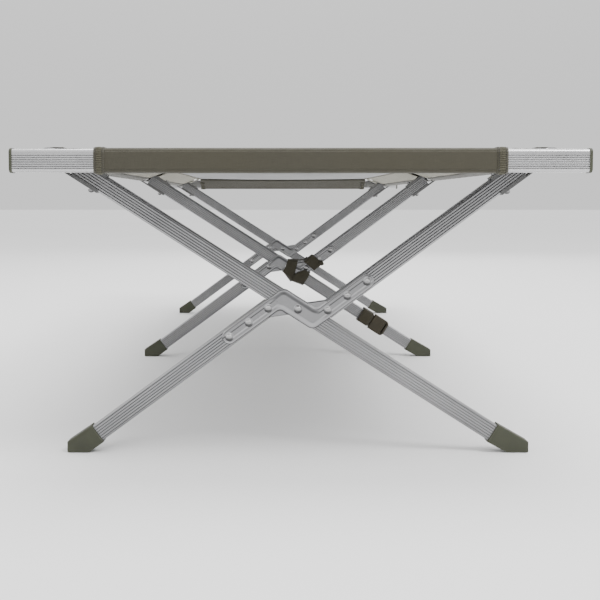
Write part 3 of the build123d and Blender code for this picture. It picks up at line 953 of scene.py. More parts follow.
# ------------------------------------------------------------------ fabric cover
@dataclass
class Cover:
    """The sewn fabric cover: bed panels, side sleeves with their hems, and end sleeves.

    Attributes:
        palette: The cot's finishes.
        cloth: Thickness of the cloth.
        seam: Distance of the side seam inboard of the rail's centre.
        lip: Where a side sleeve hands over to the bed panel, inboard of the rail's centre.
        sag: How far the bed hangs below the rails in its middle.
        leg_cut: Half of the opening in a sleeve at a leg set.
        end_seam: Distance of the end seam from the bar's back.
        hem: Width of the hem at each end of an end sleeve.
        fold_gap: Distance between the rails' centres when the frame is folded.
    """

    palette: Palette
    cloth: float = 0.9 * MM
    seam: float = 60.0 * MM
    lip: float = 16.0 * MM
    sag: float = 7.0 * MM
    leg_cut: float = 14.0 * MM
    end_seam: float = 44.0 * MM
    hem: float = 13.0 * MM
    fold_gap: float = 72.4 * MM

    def __post_init__(self) -> None:
        """Read the rails' and bars' places from the frame."""
        low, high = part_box("left_foot_rail")
        self.rail_x = -(low.x + high.x) / 2
        self.rail_z = (low.z + high.z) / 2
        self.rail_r = (high.z - low.z) / 2
        self.hug = self.rail_r + 0.2 * MM + self.cloth / 2
        self.hinge_y = (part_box("left_foot_rail")[0].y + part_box("left_head_rail")[1].y) / 2
        self.leg_y = {name: (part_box(f"{name}_long_leg")[0].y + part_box(f"{name}_long_leg")[1].y) / 2
                      for name in ("head", "middle", "foot")}
        self.bar_box = {end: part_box(f"{end.value}_end_bar") for end in End}
        self.sleeve_half = (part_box("head_end_sleeve")[1].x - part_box("head_end_sleeve")[0].x) / 2
        self.side_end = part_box("left_foot_sleeve")[1].y
        self.edge_x = self.rail_x - self.lip
        keep_width = self.fold_gap - 2 * self.lip
        self.keep = keep_width / (2 * self.edge_x)

    def crumple(self, piece: bpy.types.Object) -> None:
        """Give a piece its own copy of its mesh."""
        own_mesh(piece)

    def bed_height(self, x: np.ndarray, y: np.ndarray) -> np.ndarray:
        """Height of the cloth's middle surface over the bed.

        Args:
            x: Places across the bed.
            y: Places along the bed.

        Returns:
            The heights.
        """
        rail_top = self.rail_z + self.hug
        share = np.clip(np.abs(x) / self.rail_x, 0, 1)
        end = np.clip((self.bar_box[End.FOOT][0].y - np.abs(y)) / 0.30, 0, 1)
        hang = self.sag * (1 - share**2) * np.sqrt(np.clip(end * (2 - end), 0, 1))
        bar_top = self.bar_box[End.FOOT][1].z + 0.9 * MM
        ramp = np.clip((np.abs(y) - (self.bar_box[End.FOOT][0].y - 0.10)) / 0.10, 0, 1)
        drop = (rail_top - bar_top) * ramp**2 * (1 - share**6)
        ripple = self.wrinkles(x, y)
        return rail_top - 0.4 * MM - hang - drop + ripple

    def wrinkles(self, x: np.ndarray, y: np.ndarray) -> np.ndarray:
        """Small tension folds that run in from the corners and the leg sets.

        Args:
            x: Places across the bed.
            y: Places along the bed.

        Returns:
            Heights of the folds.
        """
        total = np.zeros(np.broadcast(x, y).shape)
        fade = np.clip((self.edge_x - np.abs(x)) / 0.02, 0, 1)
        anchors = [(sx * self.edge_x, ly, 0.7) for sx in (-1, 1) for ly in self.leg_y.values()]
        anchors += [(sx * self.edge_x, e.sign * self.side_end, 1.0) for sx in (-1, 1) for e in End]
        for n, (ax, ay, size) in enumerate(anchors):
            dx, dy = x - ax, y - ay
            reach = np.hypot(dx, dy)
            angle = np.arctan2(dy, -np.sign(ax) * dx)
            waves = np.sin(angle * (7 + n % 3) + 1.7 * n) + 0.6 * np.sin(angle * (12 + n % 4) + 0.9 * n)
            total += size * 0.55 * MM * waves * np.exp(-(reach / 0.16) ** 2) * np.clip(reach / 0.03, 0, 1)
        slow = 0.5 * np.sin(9.0 * y + 2.0 * np.sin(6.0 * x)) + 0.5 * np.sin(14.0 * x + 3.0 * np.sin(4.1 * y))
        return (total + 0.35 * MM * slow) * fade

    def panel(self, end: End) -> bpy.types.Object:
        """One half of the bed panel.

        Args:
            end: The half to make.

        Returns:
            The panel.
        """
        tuck = 4 * MM
        bar_back = self.bar_box[End.FOOT][0].y
        stop = end.sign * (bar_back - END_AIR)
        start = self.hinge_y
        rows = np.linspace(-(self.edge_x + tuck), self.edge_x + tuck, 121)
        columns = np.linspace(min(start, stop), max(start, stop), 161)
        x, y = np.meshgrid(rows, columns, indexing="ij")
        corner = np.clip((np.abs(x) - self.sleeve_half) / (self.edge_x + tuck - self.sleeve_half), 0, 1)
        limit = (bar_back - END_AIR) - CORNER_CUT * corner**0.6
        y = np.where(np.abs(y) > limit, np.sign(y) * limit, y)
        z = self.bed_height(x, y)
        z = z - 0.9 * MM * np.clip((np.abs(x) - self.edge_x) / tuck, 0, 1)
        grid = np.stack([x, y, z], axis=2)
        piece = Workshop.cloth(f"{end.value}_bed_cloth", grid, self.cloth, self.palette["olive_canvas"],
                               self.palette["grey_backing"], np.stack([x, y], axis=2))
        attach(piece, f"left_rail_{end.value}")
        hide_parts(f"{end.value}_panel")
        self.crumple(piece)
        return piece

    def sleeve_profile(self) -> tuple[np.ndarray, np.ndarray]:
        """Section of a side sleeve round its rail.

        Returns:
            Distances inboard of the rail's centre and heights above it, from the top lip round to the lower lip.
        """
        drop = self.cloth + 0.4 * MM
        rise = self.hug - drop - 0.6 * MM
        reach = math.hypot(self.seam, rise)
        tangent = math.atan2(rise, self.seam) - math.acos(self.hug / reach)
        angles = np.linspace(math.pi / 2, 2 * math.pi + tangent, 34)
        ring = np.stack([self.hug * np.cos(angles), self.hug * np.sin(angles)], axis=1)
        lip_top = np.array(
            [[self.lip - 0.8 * MM, self.hug - 0.25 * MM], [self.lip / 2, self.hug - 0.02 * MM]]
        )
        leave = ring[-1]
        to_seam = np.array([self.seam, rise])
        share = (self.lip - leave[0]) / (to_seam[0] - leave[0])
        lip_low = leave + (to_seam - leave) * share
        profile = np.concatenate([lip_top, ring, [(leave + lip_low) / 2, lip_low]])
        return profile[:, 0], profile[:, 1]

    def side_sleeve(self, side: Side, end: End) -> None:
        """The sleeve round one half of a side rail, cut open at the legs and the hinge.

        Args:
            side: The bed's side.
            end: The bed's half.
        """
        legs = self.leg_y
        if end is End.FOOT:
            spans = [(legs["middle"] + self.leg_cut, legs["foot"] - self.leg_cut),
                     (legs["foot"] + self.leg_cut, self.side_end)]
        else:
            spans = [(-self.side_end, legs["head"] - self.leg_cut),
                     (legs["head"] + self.leg_cut, self.hinge_y - self.leg_cut)]
        inboard, height = self.sleeve_profile()
        for n, (start, stop) in enumerate(spans):
            count = max(8, int((stop - start) / (12 * MM)))
            y = np.linspace(start, stop, count)
            grid = np.zeros((len(inboard), count, 3))
            edge = np.minimum(y - start, stop - y)
            puff = 0.35 * MM * np.sin(y * 61.0 + 5.0 * side.sign) * np.clip(edge / 0.05, 0, 1)
            radial = np.stack([inboard, height], axis=1)
            radial = radial / np.maximum(np.linalg.norm(radial, axis=1, keepdims=True), 1e-9)
            grid[:, :, 0] = side.sign * (
                self.rail_x - inboard[:, None] - radial[:, :1] * np.abs(puff)[None, :]
            )
            grid[:, :, 1] = y[None, :]
            grid[:, :, 2] = self.rail_z + height[:, None] + radial[:, 1:] * np.abs(puff)[None, :]
            if side is Side.RIGHT:
                grid = grid[::-1]
            name = f"{side.value}_{end.value}_sleeve_cloth_{n + 1}"
            piece = Workshop.cloth(name, grid, self.cloth, self.palette["olive_canvas"])
            self.mount_sleeve(piece, side, end, grid, replaces=n == 0)
            self.sleeve_stitching(side, end, n, start, stop)

    def mount_sleeve(
        self, piece: bpy.types.Object, side: Side, end: End, grid: np.ndarray, replaces: bool
    ) -> None:
        """Fasten a sleeve to its rail, and hide the CAD sleeve where this piece stands for it.

        Args:
            piece: The sleeve.
            side: The bed's side.
            end: The bed's half.
            grid: The sleeve's points.
            replaces: Whether this piece stands for the CAD sleeve.
        """
        long = float(abs(grid[0, -1, 1] - grid[0, 0, 1]))
        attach(piece, f"{side.value}_rail_{end.value}")
        if replaces:
            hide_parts(f"{side.value}_{end.value}_sleeve")

    def sleeve_stitching(self, side: Side, end: End, number: int, start: float, stop: float) -> None:
        """Row of stitches along a sleeve's top lip.

        Args:
            side: The bed's side.
            end: The bed's half.
            number: The sleeve's number.
            start: Where the row starts along the bed.
            stop: Where it ends.
        """
        y = np.linspace(start + 4 * MM, stop - 4 * MM, 40)
        x = np.full_like(y, side.sign * (self.edge_x + 3.2 * MM))
        z = np.full_like(y, self.rail_z + self.hug + self.cloth / 2 - 0.15 * MM)
        up = np.tile([0.0, 0.0, 1.0], (len(y), 1))
        name = f"{side.value}_{end.value}_sleeve_stitches_{number + 1}"
        row = Workshop.stitches(name, np.stack([x, y, z], axis=1), up, self.palette["olive_thread"])
        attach(row, f"{side.value}_rail_{end.value}")

    def hem_ply(self, side: Side, end: End) -> None:
        """The under ply that runs from a side sleeve up to its seam beneath the bed, with two rows of stitches.

        Args:
            side: The bed's side.
            end: The bed's half.
        """
        inboard, height = self.sleeve_profile()
        low = np.array([inboard[-1], self.rail_z + height[-1]])
        legs = self.leg_y
        cut = self.leg_cut + 4 * MM
        if end is End.FOOT:
            spans = [(legs["middle"] + cut, legs["foot"] - cut), (legs["foot"] + cut, self.side_end)]
        else:
            spans = [(-self.side_end, legs["head"] - cut), (legs["head"] + cut, self.hinge_y - cut / 2)]
        for n, (start, stop) in enumerate(spans):
            y = np.linspace(start, stop, max(6, int((stop - start) / (14 * MM))))
            rows = []
            for share in np.linspace(-0.04, 1.0, 13):
                x_in = low[0] + (self.seam - low[0]) * share
                x = side.sign * (self.rail_x - x_in)
                top = self.bed_height(np.full_like(y, x), y) - self.cloth - 0.5 * MM
                end_drop = np.clip(1 - share, 0, 1.1)
                seam_top = self.bed_height(np.full_like(y, side.sign * (self.rail_x - self.seam)), y)
                base = low[1] + (seam_top - self.cloth - 0.5 * MM - low[1]) * share
                tuck = 0.7 * MM * np.clip((0.06 - share) / 0.06, 0, 1)
                z = np.minimum(base, top) - 0.3 * MM * np.sin(y * 37.0) * end_drop + tuck
                rows.append(np.stack([np.full_like(y, x), y, z], axis=1))
            past = side.sign * (self.rail_x - self.seam - 7 * MM)
            flat = self.bed_height(np.full_like(y, past), y) - self.cloth - 0.15 * MM
            rows.append(np.stack([np.full_like(y, past), y, flat], axis=1))
            grid = np.stack(rows)
            if side is Side.LEFT:
                grid = grid[::-1]
            name = f"{side.value}_{end.value}_hem_ply_{n + 1}"
            piece = Workshop.cloth(name, grid, self.cloth * 0.8, self.palette["olive_hem_canvas"])
            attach(piece, f"left_rail_{end.value}")
            float(stop - start)
            self.crumple(piece)
            for k, inset in enumerate((-4.5 * MM, 1.5 * MM)):
                self.seam_row(f"{side.value}_{end.value}_seam_{n + 1}_{k + 1}", side, end, y, inset, k == 0)

    def seam_row(self, name: str, side: Side, end: End, y: np.ndarray, inset: float, dark: bool) -> None:
        """One row of stitches along a side seam, on the underside and on the top of the bed.

        Args:
            name: The row's name.
            side: The bed's side.
            end: The bed's half.
            y: Places along the bed.
            inset: Distance of the row inboard of the seam's edge.
            dark: Whether the underside thread is the dark one.
        """
        x = np.full_like(y, side.sign * (self.rail_x - self.seam + inset))
        z = self.bed_height(x, y)
        thread = self.palette["dark_thread" if dark else "olive_thread"]
        under = np.stack([x, y, z - 1.5 * self.cloth - 0.35 * MM], axis=1)[1:-1]
        over = np.stack([x, y, z + self.cloth / 2 - 0.1 * MM], axis=1)[1:-1]
        down = np.tile([0.0, 0.0, -1.0], (len(under), 1))
        for place, path, out, yarn in (
            ("under", under, down, thread),
            ("top", over, -down, self.palette["olive_thread"]),
        ):
            row = Workshop.stitches(f"{name}_{place}", path, out, yarn)
            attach(row, f"left_rail_{end.value}")
            self.crumple(row)

    def end_profile(self, end: End, out: float) -> np.ndarray:
        """Section of an end sleeve round its bar, from the top seam round the bar to the under seam.

        Args:
            end: The bed's end.
            out: Distance of the cloth's middle from the bar.

        Returns:
            Places along the bed and heights, one row each.
        """
        low, high = self.bar_box[end]
        depth, tall = high.y - low.y, high.z - low.z
        middle = np.array([(low.y + high.y) / 2, (low.z + high.z) / 2])
        corner = 5.0 * MM
        half = np.array([depth / 2 - corner, tall / 2 - corner])
        turns = [(1, 1, 90, 0), (1, -1, 0, -90), (-1, -1, -90, -150)]
        points = []
        for sx, sz, first, last in turns:
            for angle in np.radians(np.linspace(first, last, 8)):
                bend = (corner + out) * np.array([math.cos(angle), math.sin(angle)])
                points.append(np.array([sx * half[0], sz * half[1]]) + bend)
        wrap = np.array(points)
        seam_y = end.sign * (abs(low.y if end is End.FOOT else high.y) - self.end_seam)
        outward = np.stack([middle[0] + end.sign * wrap[:, 0], middle[1] + wrap[:, 1]], axis=1)
        top_z = float(self.bed_height(np.array(0.0), np.array(seam_y))) + self.cloth + PLY_AIR
        under_z = float(self.bed_height(np.array(0.0), np.array(seam_y))) - self.cloth - PLY_AIR
        top_run = np.array([[seam_y, top_z], [seam_y + end.sign * 22 * MM, (top_z * 2 + outward[0][1]) / 3]])
        back = middle[0] - end.sign * depth / 2
        top_run = np.concatenate([top_run, [[back - end.sign * 1 * MM, outward[0][1] + 0.15 * MM]]])
        last = outward[-1]
        low_run = np.array([last + (np.array([seam_y, under_z]) - last) * s for s in (0.33, 0.66, 1.0)])
        return np.concatenate([top_run, outward, low_run])

    def end_grid(self, end: End, out: float, start: float, stop: float, count: int) -> np.ndarray:
        """Grid of an end sleeve between two places across the bed.

        Args:
            end: The bed's end.
            out: Distance of the cloth's middle from the bar.
            start: Left edge.
            stop: Right edge.
            count: Columns made.

        Returns:
            The grid, its normals facing out.
        """
        profile = self.end_profile(end, out)
        profile = smooth_path(profile, 2)
        x = np.linspace(start, stop, count)
        grid = np.zeros((len(profile), count, 3))
        grid[:, :, 0] = x[None, :]
        grid[:, :, 1] = profile[:, 0][:, None]
        grid[:, :, 2] = profile[:, 1][:, None]
        around = np.linspace(0, 1, len(profile))[:, None]
        creases = (
            0.55 * MM * np.sin(x[None, :] * 95.0 + 6.0 * around) * np.sin(around * 9.0 + x[None, :] * 11.0)
        )
        calm = np.clip((self.sleeve_half - np.abs(x)) / 0.02, 0, 1)[None, :]
        pucker = (
            0.25 * MM * np.sin(x[None, :] * 620.0)
            * np.exp(-((self.sleeve_half - 14 * MM - np.abs(x)) / 0.008) ** 2)[None, :]
        )
        push = np.abs(creases) * calm + np.abs(pucker)
        grid[:, :, 1] += end.sign * push
        seam_sag = self.bed_height(grid[:, :, 0], grid[:, :, 1]) - self.bed_height(
            np.zeros_like(x)[None, :], grid[:, :, 1]
        )
        near = np.clip(
            (
                abs(self.end_seam)
                - np.abs(np.abs(grid[:, :, 1]) - (self.bar_box[End.FOOT][0].y - self.end_seam))
            )
            / self.end_seam,
            0,
            1,
        )
        inside = np.abs(grid[:, :, 1]) < self.bar_box[End.FOOT][0].y
        grid[:, :, 2] += seam_sag * near * inside
        return grid if end is End.HEAD else grid[:, ::-1]

    def end_sleeve(self, end: End) -> None:
        """The sleeve round one end bar, with its two hems and their stitching.

        Args:
            end: The bed's end.
        """
        canvas = self.palette["olive_canvas"]
        grid = self.end_grid(end, 0.15 * MM + self.cloth / 2, -self.sleeve_half, self.sleeve_half, 180)
        piece = Workshop.cloth(f"{end.value}_end_sleeve_cloth", grid, self.cloth, canvas)
        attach(piece, f"{end.value}_bar")
        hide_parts(f"{end.value}_end_sleeve")
        self.crumple(piece)
        for side in Side:
            edges = sorted(
                (side.sign * (self.sleeve_half + 0.4 * MM), side.sign * (self.sleeve_half - self.hem))
            )
            band = self.end_grid(end, 0.15 * MM + 1.5 * self.cloth, *edges, 6)[1:-2]
            name = f"{end.value}_{side.value}_end_hem"
            hem = Workshop.cloth(name, band, self.cloth * 0.9, canvas)
            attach(hem, f"{end.value}_bar")
            self.crumple(hem)
            for k, inset in enumerate((2.2 * MM, self.hem - 2.0 * MM)):
                x = side.sign * (self.sleeve_half - inset)
                rows = self.end_grid(
                    end, 0.15 * MM + 2.0 * self.cloth - 0.1 * MM, x - 1e-4, x + 1e-4, 2
                )[2:-3]
                out = Workshop.normals(rows)[:, 0]
                row = Workshop.stitches(
                    f"{name}_stitches_{k + 1}", rows[:, 0], out, self.palette["dark_thread"], 3.4 * MM
                )
                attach(row, f"{end.value}_bar")
                self.crumple(row)
            self.overlock(name, end, side)
        self.end_seam_rows(end)

    def overlock(self, name: str, end: End, side: Side) -> None:
        """Close threads across a hem, from one of its stitch rows to the other.

        Args:
            name: The hem's name.
            end: The bed's end.
            side: The bed's side.
        """
        x = side.sign * (self.sleeve_half - self.hem / 2)
        rows = self.end_grid(end, 0.15 * MM + 2.0 * self.cloth - 0.12 * MM, x - 1e-4, x + 1e-4, 2)[2:-3]
        out = Workshop.normals(rows)[:, 0]
        travel = np.concatenate([[0], np.cumsum(np.linalg.norm(np.diff(rows[:, 0], axis=0), axis=1))])
        at = np.arange(1.5 * MM, travel[-1] - 1.5 * MM, 2.3 * MM)
        middle, up = (
            np.stack([np.interp(at, travel, a[:, k]) for k in range(3)], axis=1) for a in (rows[:, 0], out)
        )
        reach = (self.hem - 4.2 * MM) * (STITCH_STEPS - 0.5)
        centre = middle[:, None, :] + reach[None, :, None] * np.array([1.0, 0.0, 0.0])
        row = Workshop.threads(f"{name}_overlock", centre, np.repeat(up[:, None], len(reach), axis=1),
                               self.palette["olive_thread"], 0.5 * MM)
        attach(row, f"{end.value}_bar")
        self.crumple(row)

    def end_seam_rows(self, end: End) -> None:
        """Two rows of stitches across the bed where an end sleeve is sewn to the panel.

        Args:
            end: The bed's end.
        """
        back = self.bar_box[End.FOOT][0].y
        x = np.linspace(-self.sleeve_half + 6 * MM, self.sleeve_half - 6 * MM, 60)
        for k, inset in enumerate((3.0 * MM, 9.0 * MM)):
            y = np.full_like(x, end.sign * (back - self.end_seam + inset))
            z = self.bed_height(x, y) + 1.5 * self.cloth + THREAD_AIR
            up = np.tile([0.0, 0.0, 1.0], (len(x), 1))
            row = Workshop.stitches(f"{end.value}_end_seam_{k + 1}", np.stack([x, y, z], axis=1), up,
                                    self.palette["olive_thread"])
            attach(row, f"{end.value}_bar")
            self.crumple(row)

    def build(self) -> None:
        """Make the whole cover."""
        for end in End:
            self.panel(end)
            self.end_sleeve(end)
            for side in Side:
                self.side_sleeve(side, end)
                self.hem_ply(side, end)
            LOG.info("cover, %s half", end.value)


# ------------------------------------------------------------------ frame finishes
@dataclass
class FrameDress:
    """Gives every metal and plastic part of the frame its finish.

    Attributes:
        palette: The cot's finishes.
    """

    palette: Palette

    RULES = (
        ("long_leg", "long_leg_metal"),
        ("half_leg", "half_leg_metal"),
        ("crank_plates", "plate_metal"),
        ("rivets", "rivet_metal"),
        ("bracket_pin", "rivet_metal"),
        ("bracket", "bracket_metal"),
        ("foot_cap", "olive_cap_plastic"),
        ("end_caps", "olive_cap_plastic"),
        ("end_peg", "rail_metal"),
        ("hinge", "hinge_metal"),
        ("end_bar", "bar_metal"),
        ("buckle", "buckle_plastic"),
        ("rail", "rail_metal"),
    )

    def finish_of(self, node: str) -> str | None:
        """The finish for a CAD node, or None where a sewn piece stands for it."""
        return next((finish for part, finish in self.RULES if part in node), None)

    def build(self) -> None:
        """Dress each CAD node that shows."""
        for name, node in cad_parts.items():
            finish = self.finish_of(name)
            if finish is None or node.hide_render:
                continue
            node.data.materials.clear()
            node.data.materials.append(self.palette[finish])
            node.data.polygons.foreach_set("material_index", [0] * len(node.data.polygons))
            LOG.info("dressed %s in %s", name, finish)


# ------------------------------------------------------------------ crank plates
@dataclass
class CrankPlates:
    """Pressed plates that crank each split leg round the long leg: rolled rim, dished crank and channelled arms.

    Lengths are in millimetres, in the plane of the plate, x along the half legs and y across them.

    Attributes:
        palette: The cot's finishes.
        lean: The long leg's slope in degrees.
        slope: The half legs' slope in degrees.
        offset: Distance of each half leg's axis from the pivot.
        arm_half: Half of an arm's width.
        crank_half: Half of the width where the plate follows the long leg.
        arm_end: Distance of an arm's end from the pivot.
        gusset: Side of the flange in each inner corner of the crank.
        seat: Distance of a plate's back from the middle of the leg set.
        flange: Height of the sheet above its seat on the gusset flanges.
        crest: Greatest height of the pressed sheet above its seat, apart from the bosses.
        stations: Places of the rivets along each arm.
    """

    palette: Palette
    lean: float = 32.6
    slope: float = 36.417
    offset: float = 25.6
    arm_half: float = 10.5
    crank_half: float = 13.8
    arm_end: float = 110.5
    gusset: float = 20.0
    seat: float = 8.0
    flange: float = 1.3
    crest: float = 2.9
    stations: tuple[float, ...] = (32.7, 66.4, 100.2)

    def corner(self, across: float, beside: float) -> np.ndarray:
        """Point at a distance across the half legs and a distance beside the long leg's axis."""
        turn = math.radians(self.slope + self.lean)
        return np.array([(across * math.cos(turn) - beside) / -math.sin(turn), across])

    @staticmethod
    def rounded(points: Sequence[np.ndarray], radii: Sequence[float], step: float) -> np.ndarray:
        """Round a polygon's corners and space its points evenly.

        Args:
            points: The polygon's corners.
            radii: Radius of each corner.
            step: Distance between the points.

        Returns:
            The outline.
        """
        made = []
        for i, (point, radius) in enumerate(zip(points, radii)):
            back, on = points[i - 1] - point, points[(i + 1) % len(points)] - point
            back, on = back / np.linalg.norm(back), on / np.linalg.norm(on)
            half = math.acos(float(np.clip(back @ on, -1, 1))) / 2
            centre = point + (back + on) / np.linalg.norm(back + on) * radius / math.sin(half)
            first = point + back * radius / math.tan(half) - centre
            last = point + on * radius / math.tan(half) - centre
            start = math.atan2(first[1], first[0])
            sweep = (math.atan2(last[1], last[0]) - start + math.pi) % (2 * math.pi) - math.pi
            turns = start + sweep * np.linspace(0, 1, 24)
            made.append(centre + radius * np.stack([np.cos(turns), np.sin(turns)], axis=1))
        path = np.concatenate(made)
        path = np.concatenate([path, path[:1]])
        travel = np.concatenate([[0], np.cumsum(np.linalg.norm(np.diff(path, axis=0), axis=1))])
        at = np.linspace(0, travel[-1], round(travel[-1] / step), endpoint=False)
        return np.stack([np.interp(at, travel, path[:, k]) for k in range(2)], axis=1)

    def outline(self, gusset: float, step: float) -> np.ndarray:
        """Outline of the plate.

        Args:
            gusset: Length of the flange in each inner corner, or 0.
            step: Distance between the points.

        Returns:
            The outline's points.
        """
        turn = math.radians(self.slope + self.lean)
        outer = self.corner(self.offset + self.arm_half, self.crank_half)
        inner = self.corner(-self.offset + self.arm_half, self.crank_half)
        half, radii = [outer], [12.0]
        if gusset:
            half += [
                inner + 0.72 * gusset * np.array([-math.cos(turn), math.sin(turn)]),
                inner + [gusset, 0.0],
            ]
            radii += [5.0, 8.0]
        else:
            half += [inner]
            radii += [7.0]
        half += [np.array([self.arm_end, -self.offset + s * self.arm_half]) for s in (1, -1)]
        radii += [self.arm_half - 0.1] * 2
        return self.rounded(half + [-p for p in half], radii * 2, step)

    @staticmethod
    def depth(points: np.ndarray, outline: np.ndarray) -> np.ndarray:
        """Distance of points inside an outline from its edge, negative outside.

        Args:
            points: The points.
            outline: A closed outline.

        Returns:
            One distance for each point.
        """
        start, end = outline, np.roll(outline, -1, axis=0)
        run = end - start
        made = []
        for block in np.array_split(points, max(1, len(points) // 1500)):
            to = block[:, None] - start[None]
            share = np.clip((to * run).sum(axis=2) / (run**2).sum(axis=1), 0, 1)
            near = np.linalg.norm(to - share[:, :, None] * run, axis=2).min(axis=1)
            spans = (start[None, :, 1] > block[:, None, 1]) != (end[None, :, 1] > block[:, None, 1])
            rise = np.where(np.abs(run[:, 1]) < 1e-9, 1e-9, run[:, 1])
            cross = start[None, :, 0] + (block[:, None, 1] - start[None, :, 1]) * run[None, :, 0] / rise
            inside = (spans & (block[:, None, 0] < cross)).sum(axis=1) % 2 == 1
            made.append(np.where(inside, near, -near))
        return np.concatenate(made)

    @staticmethod
    def ease(value: np.ndarray, low: float, high: float) -> np.ndarray:
        """Smooth step from 0 at low to 1 at high."""
        share = np.clip((value - low) / (high - low), 0, 1)
        return share * share * (3 - 2 * share)

    def relief(self, points: np.ndarray, rim: np.ndarray, band: np.ndarray) -> np.ndarray:
        """Height of the pressed sheet above its seat.

        Args:
            points: Places on the plate.
            rim: Distance of each from the plate's edge.
            band: Distance of each from the edge of the crank and arms, negative on the gusset flanges.

        Returns:
            The heights.
        """
        arm = self.ease(np.abs(points[:, 0]), 14.0, 27.0)
        beside = np.minimum(np.abs(points[:, 1] - self.offset), np.abs(points[:, 1] + self.offset))
        dish = self.crest - 1.7 * self.ease(band, 1.3, 8.5)
        channel = self.crest - 0.7 * self.ease(band, 1.2, 2.8) - 1.2 * (1 - self.ease(beside, 2.7, 4.3))
        height = dish * (1 - arm) + channel * arm
        spots = [(0.0, 0.0)] + [(s * x, -s * self.offset) for x in self.stations for s in (1, -1)]
        for x, y in spots:
            boss = 1 - self.ease(np.hypot(points[:, 0] - x, points[:, 1] - y), 4.4, 6.2)
            height = height + (3.25 - height) * boss
        roll = np.clip(1 - np.clip(band, 0, 1.3) / 1.3, 0, 1)
        height = np.where(band > 0, 0.3 + (height - 0.3) * np.sqrt(1 - roll**2), 0.0)
        lip = np.clip(1 - np.clip(rim, 0, 0.8) / 0.8, 0, 1)
        return np.maximum(height, 0.25 + (self.flange - 0.25) * np.sqrt(1 - lip**2))

    def sheet(self) -> tuple[np.ndarray, list[list[int]], list[int]]:
        """Flat mesh of the plate with its relief.

        Returns:
            Points in millimetres, the faces of the front, and the numbers of the points on the edge in order.
        """
        step = 0.8
        outer, band = self.outline(self.gusset, step), self.outline(0.0, step)
        inward = np.roll(outer, -1, axis=0) - np.roll(outer, 1, axis=0)
        inward = np.stack([-inward[:, 1], inward[:, 0]], axis=1) / np.linalg.norm(
            inward, axis=1, keepdims=True
        )
        if self.depth(outer[:1] + inward[:1] * 0.1, outer)[0] < 0:
            inward = -inward
        rings = [outer + inward * d for d in (0.25, 0.6, 1.0, 1.5)]
        x, y = np.meshgrid(np.arange(-112, 112, step), np.arange(-40, 40, step))
        x = x + (np.arange(len(x)) % 2)[:, None] * step / 2
        cells = np.stack([x.ravel(), y.ravel()], axis=1)
        cells = cells[self.depth(cells, outer) > 2.0]
        extra = np.concatenate(rings + [cells])
        extra = extra[self.depth(extra, outer) > 0.15]
        count = len(outer)
        loop = [(i, (i + 1) % count) for i in range(count)]
        cdt = delaunay_2d_cdt([Vector(p) for p in np.concatenate([outer, extra])], loop, [], 1, 1e-5)
        flat = np.array([tuple(v) for v in cdt[0]])
        height = self.relief(flat, self.depth(flat, outer), self.depth(flat, band))
        order = {source: i for i, sources in enumerate(cdt[3]) for source in sources}
        return np.column_stack([flat, height]), [list(f) for f in cdt[2]], [order[i] for i in range(count)]

    def build(self) -> None:
        """Make both plates of each leg set."""
        points, faces, edge = self.sheet()
        a = math.radians(self.slope)
        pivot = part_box("middle_crank_plates")
        centre_z = (pivot[0].z + pivot[1].z) / 2
        count = len(points)
        foot = [count + i for i in range(len(edge))]
        wall = [
            [edge[i], edge[(i + 1) % len(edge)], foot[(i + 1) % len(edge)], foot[i]]
            for i in range(len(edge))
        ]
        every = np.concatenate([points, np.column_stack([points[edge, :2], np.zeros(len(edge))])])
        for name in ("head", "middle", "foot"):
            low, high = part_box(f"{name}_crank_plates")
            middle_y = (low.y + high.y) / 2
            for side, label in ((-1, "front"), (1, "rear")):
                placed = np.zeros((len(every), 3))
                placed[:, 0] = (every[:, 0] * math.cos(a) - every[:, 1] * math.sin(a)) * MM
                placed[:, 2] = centre_z + (every[:, 0] * math.sin(a) + every[:, 1] * math.cos(a)) * MM
                placed[:, 1] = middle_y + side * (self.seat + every[:, 2]) * MM
                mesh = faces + wall + [foot[::-1]]
                piece = Workshop.piece(
                    f"{name}_{label}_crank_plate", placed, mesh, [self.palette["plate_metal"]]
                )
                piece.data.update()
                Workshop.face_out(piece)
                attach(piece, f"{name}_split")
                if side < 0:
                    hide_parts(f"{name}_crank_plates")
            LOG.info("crank plates, %s", name)


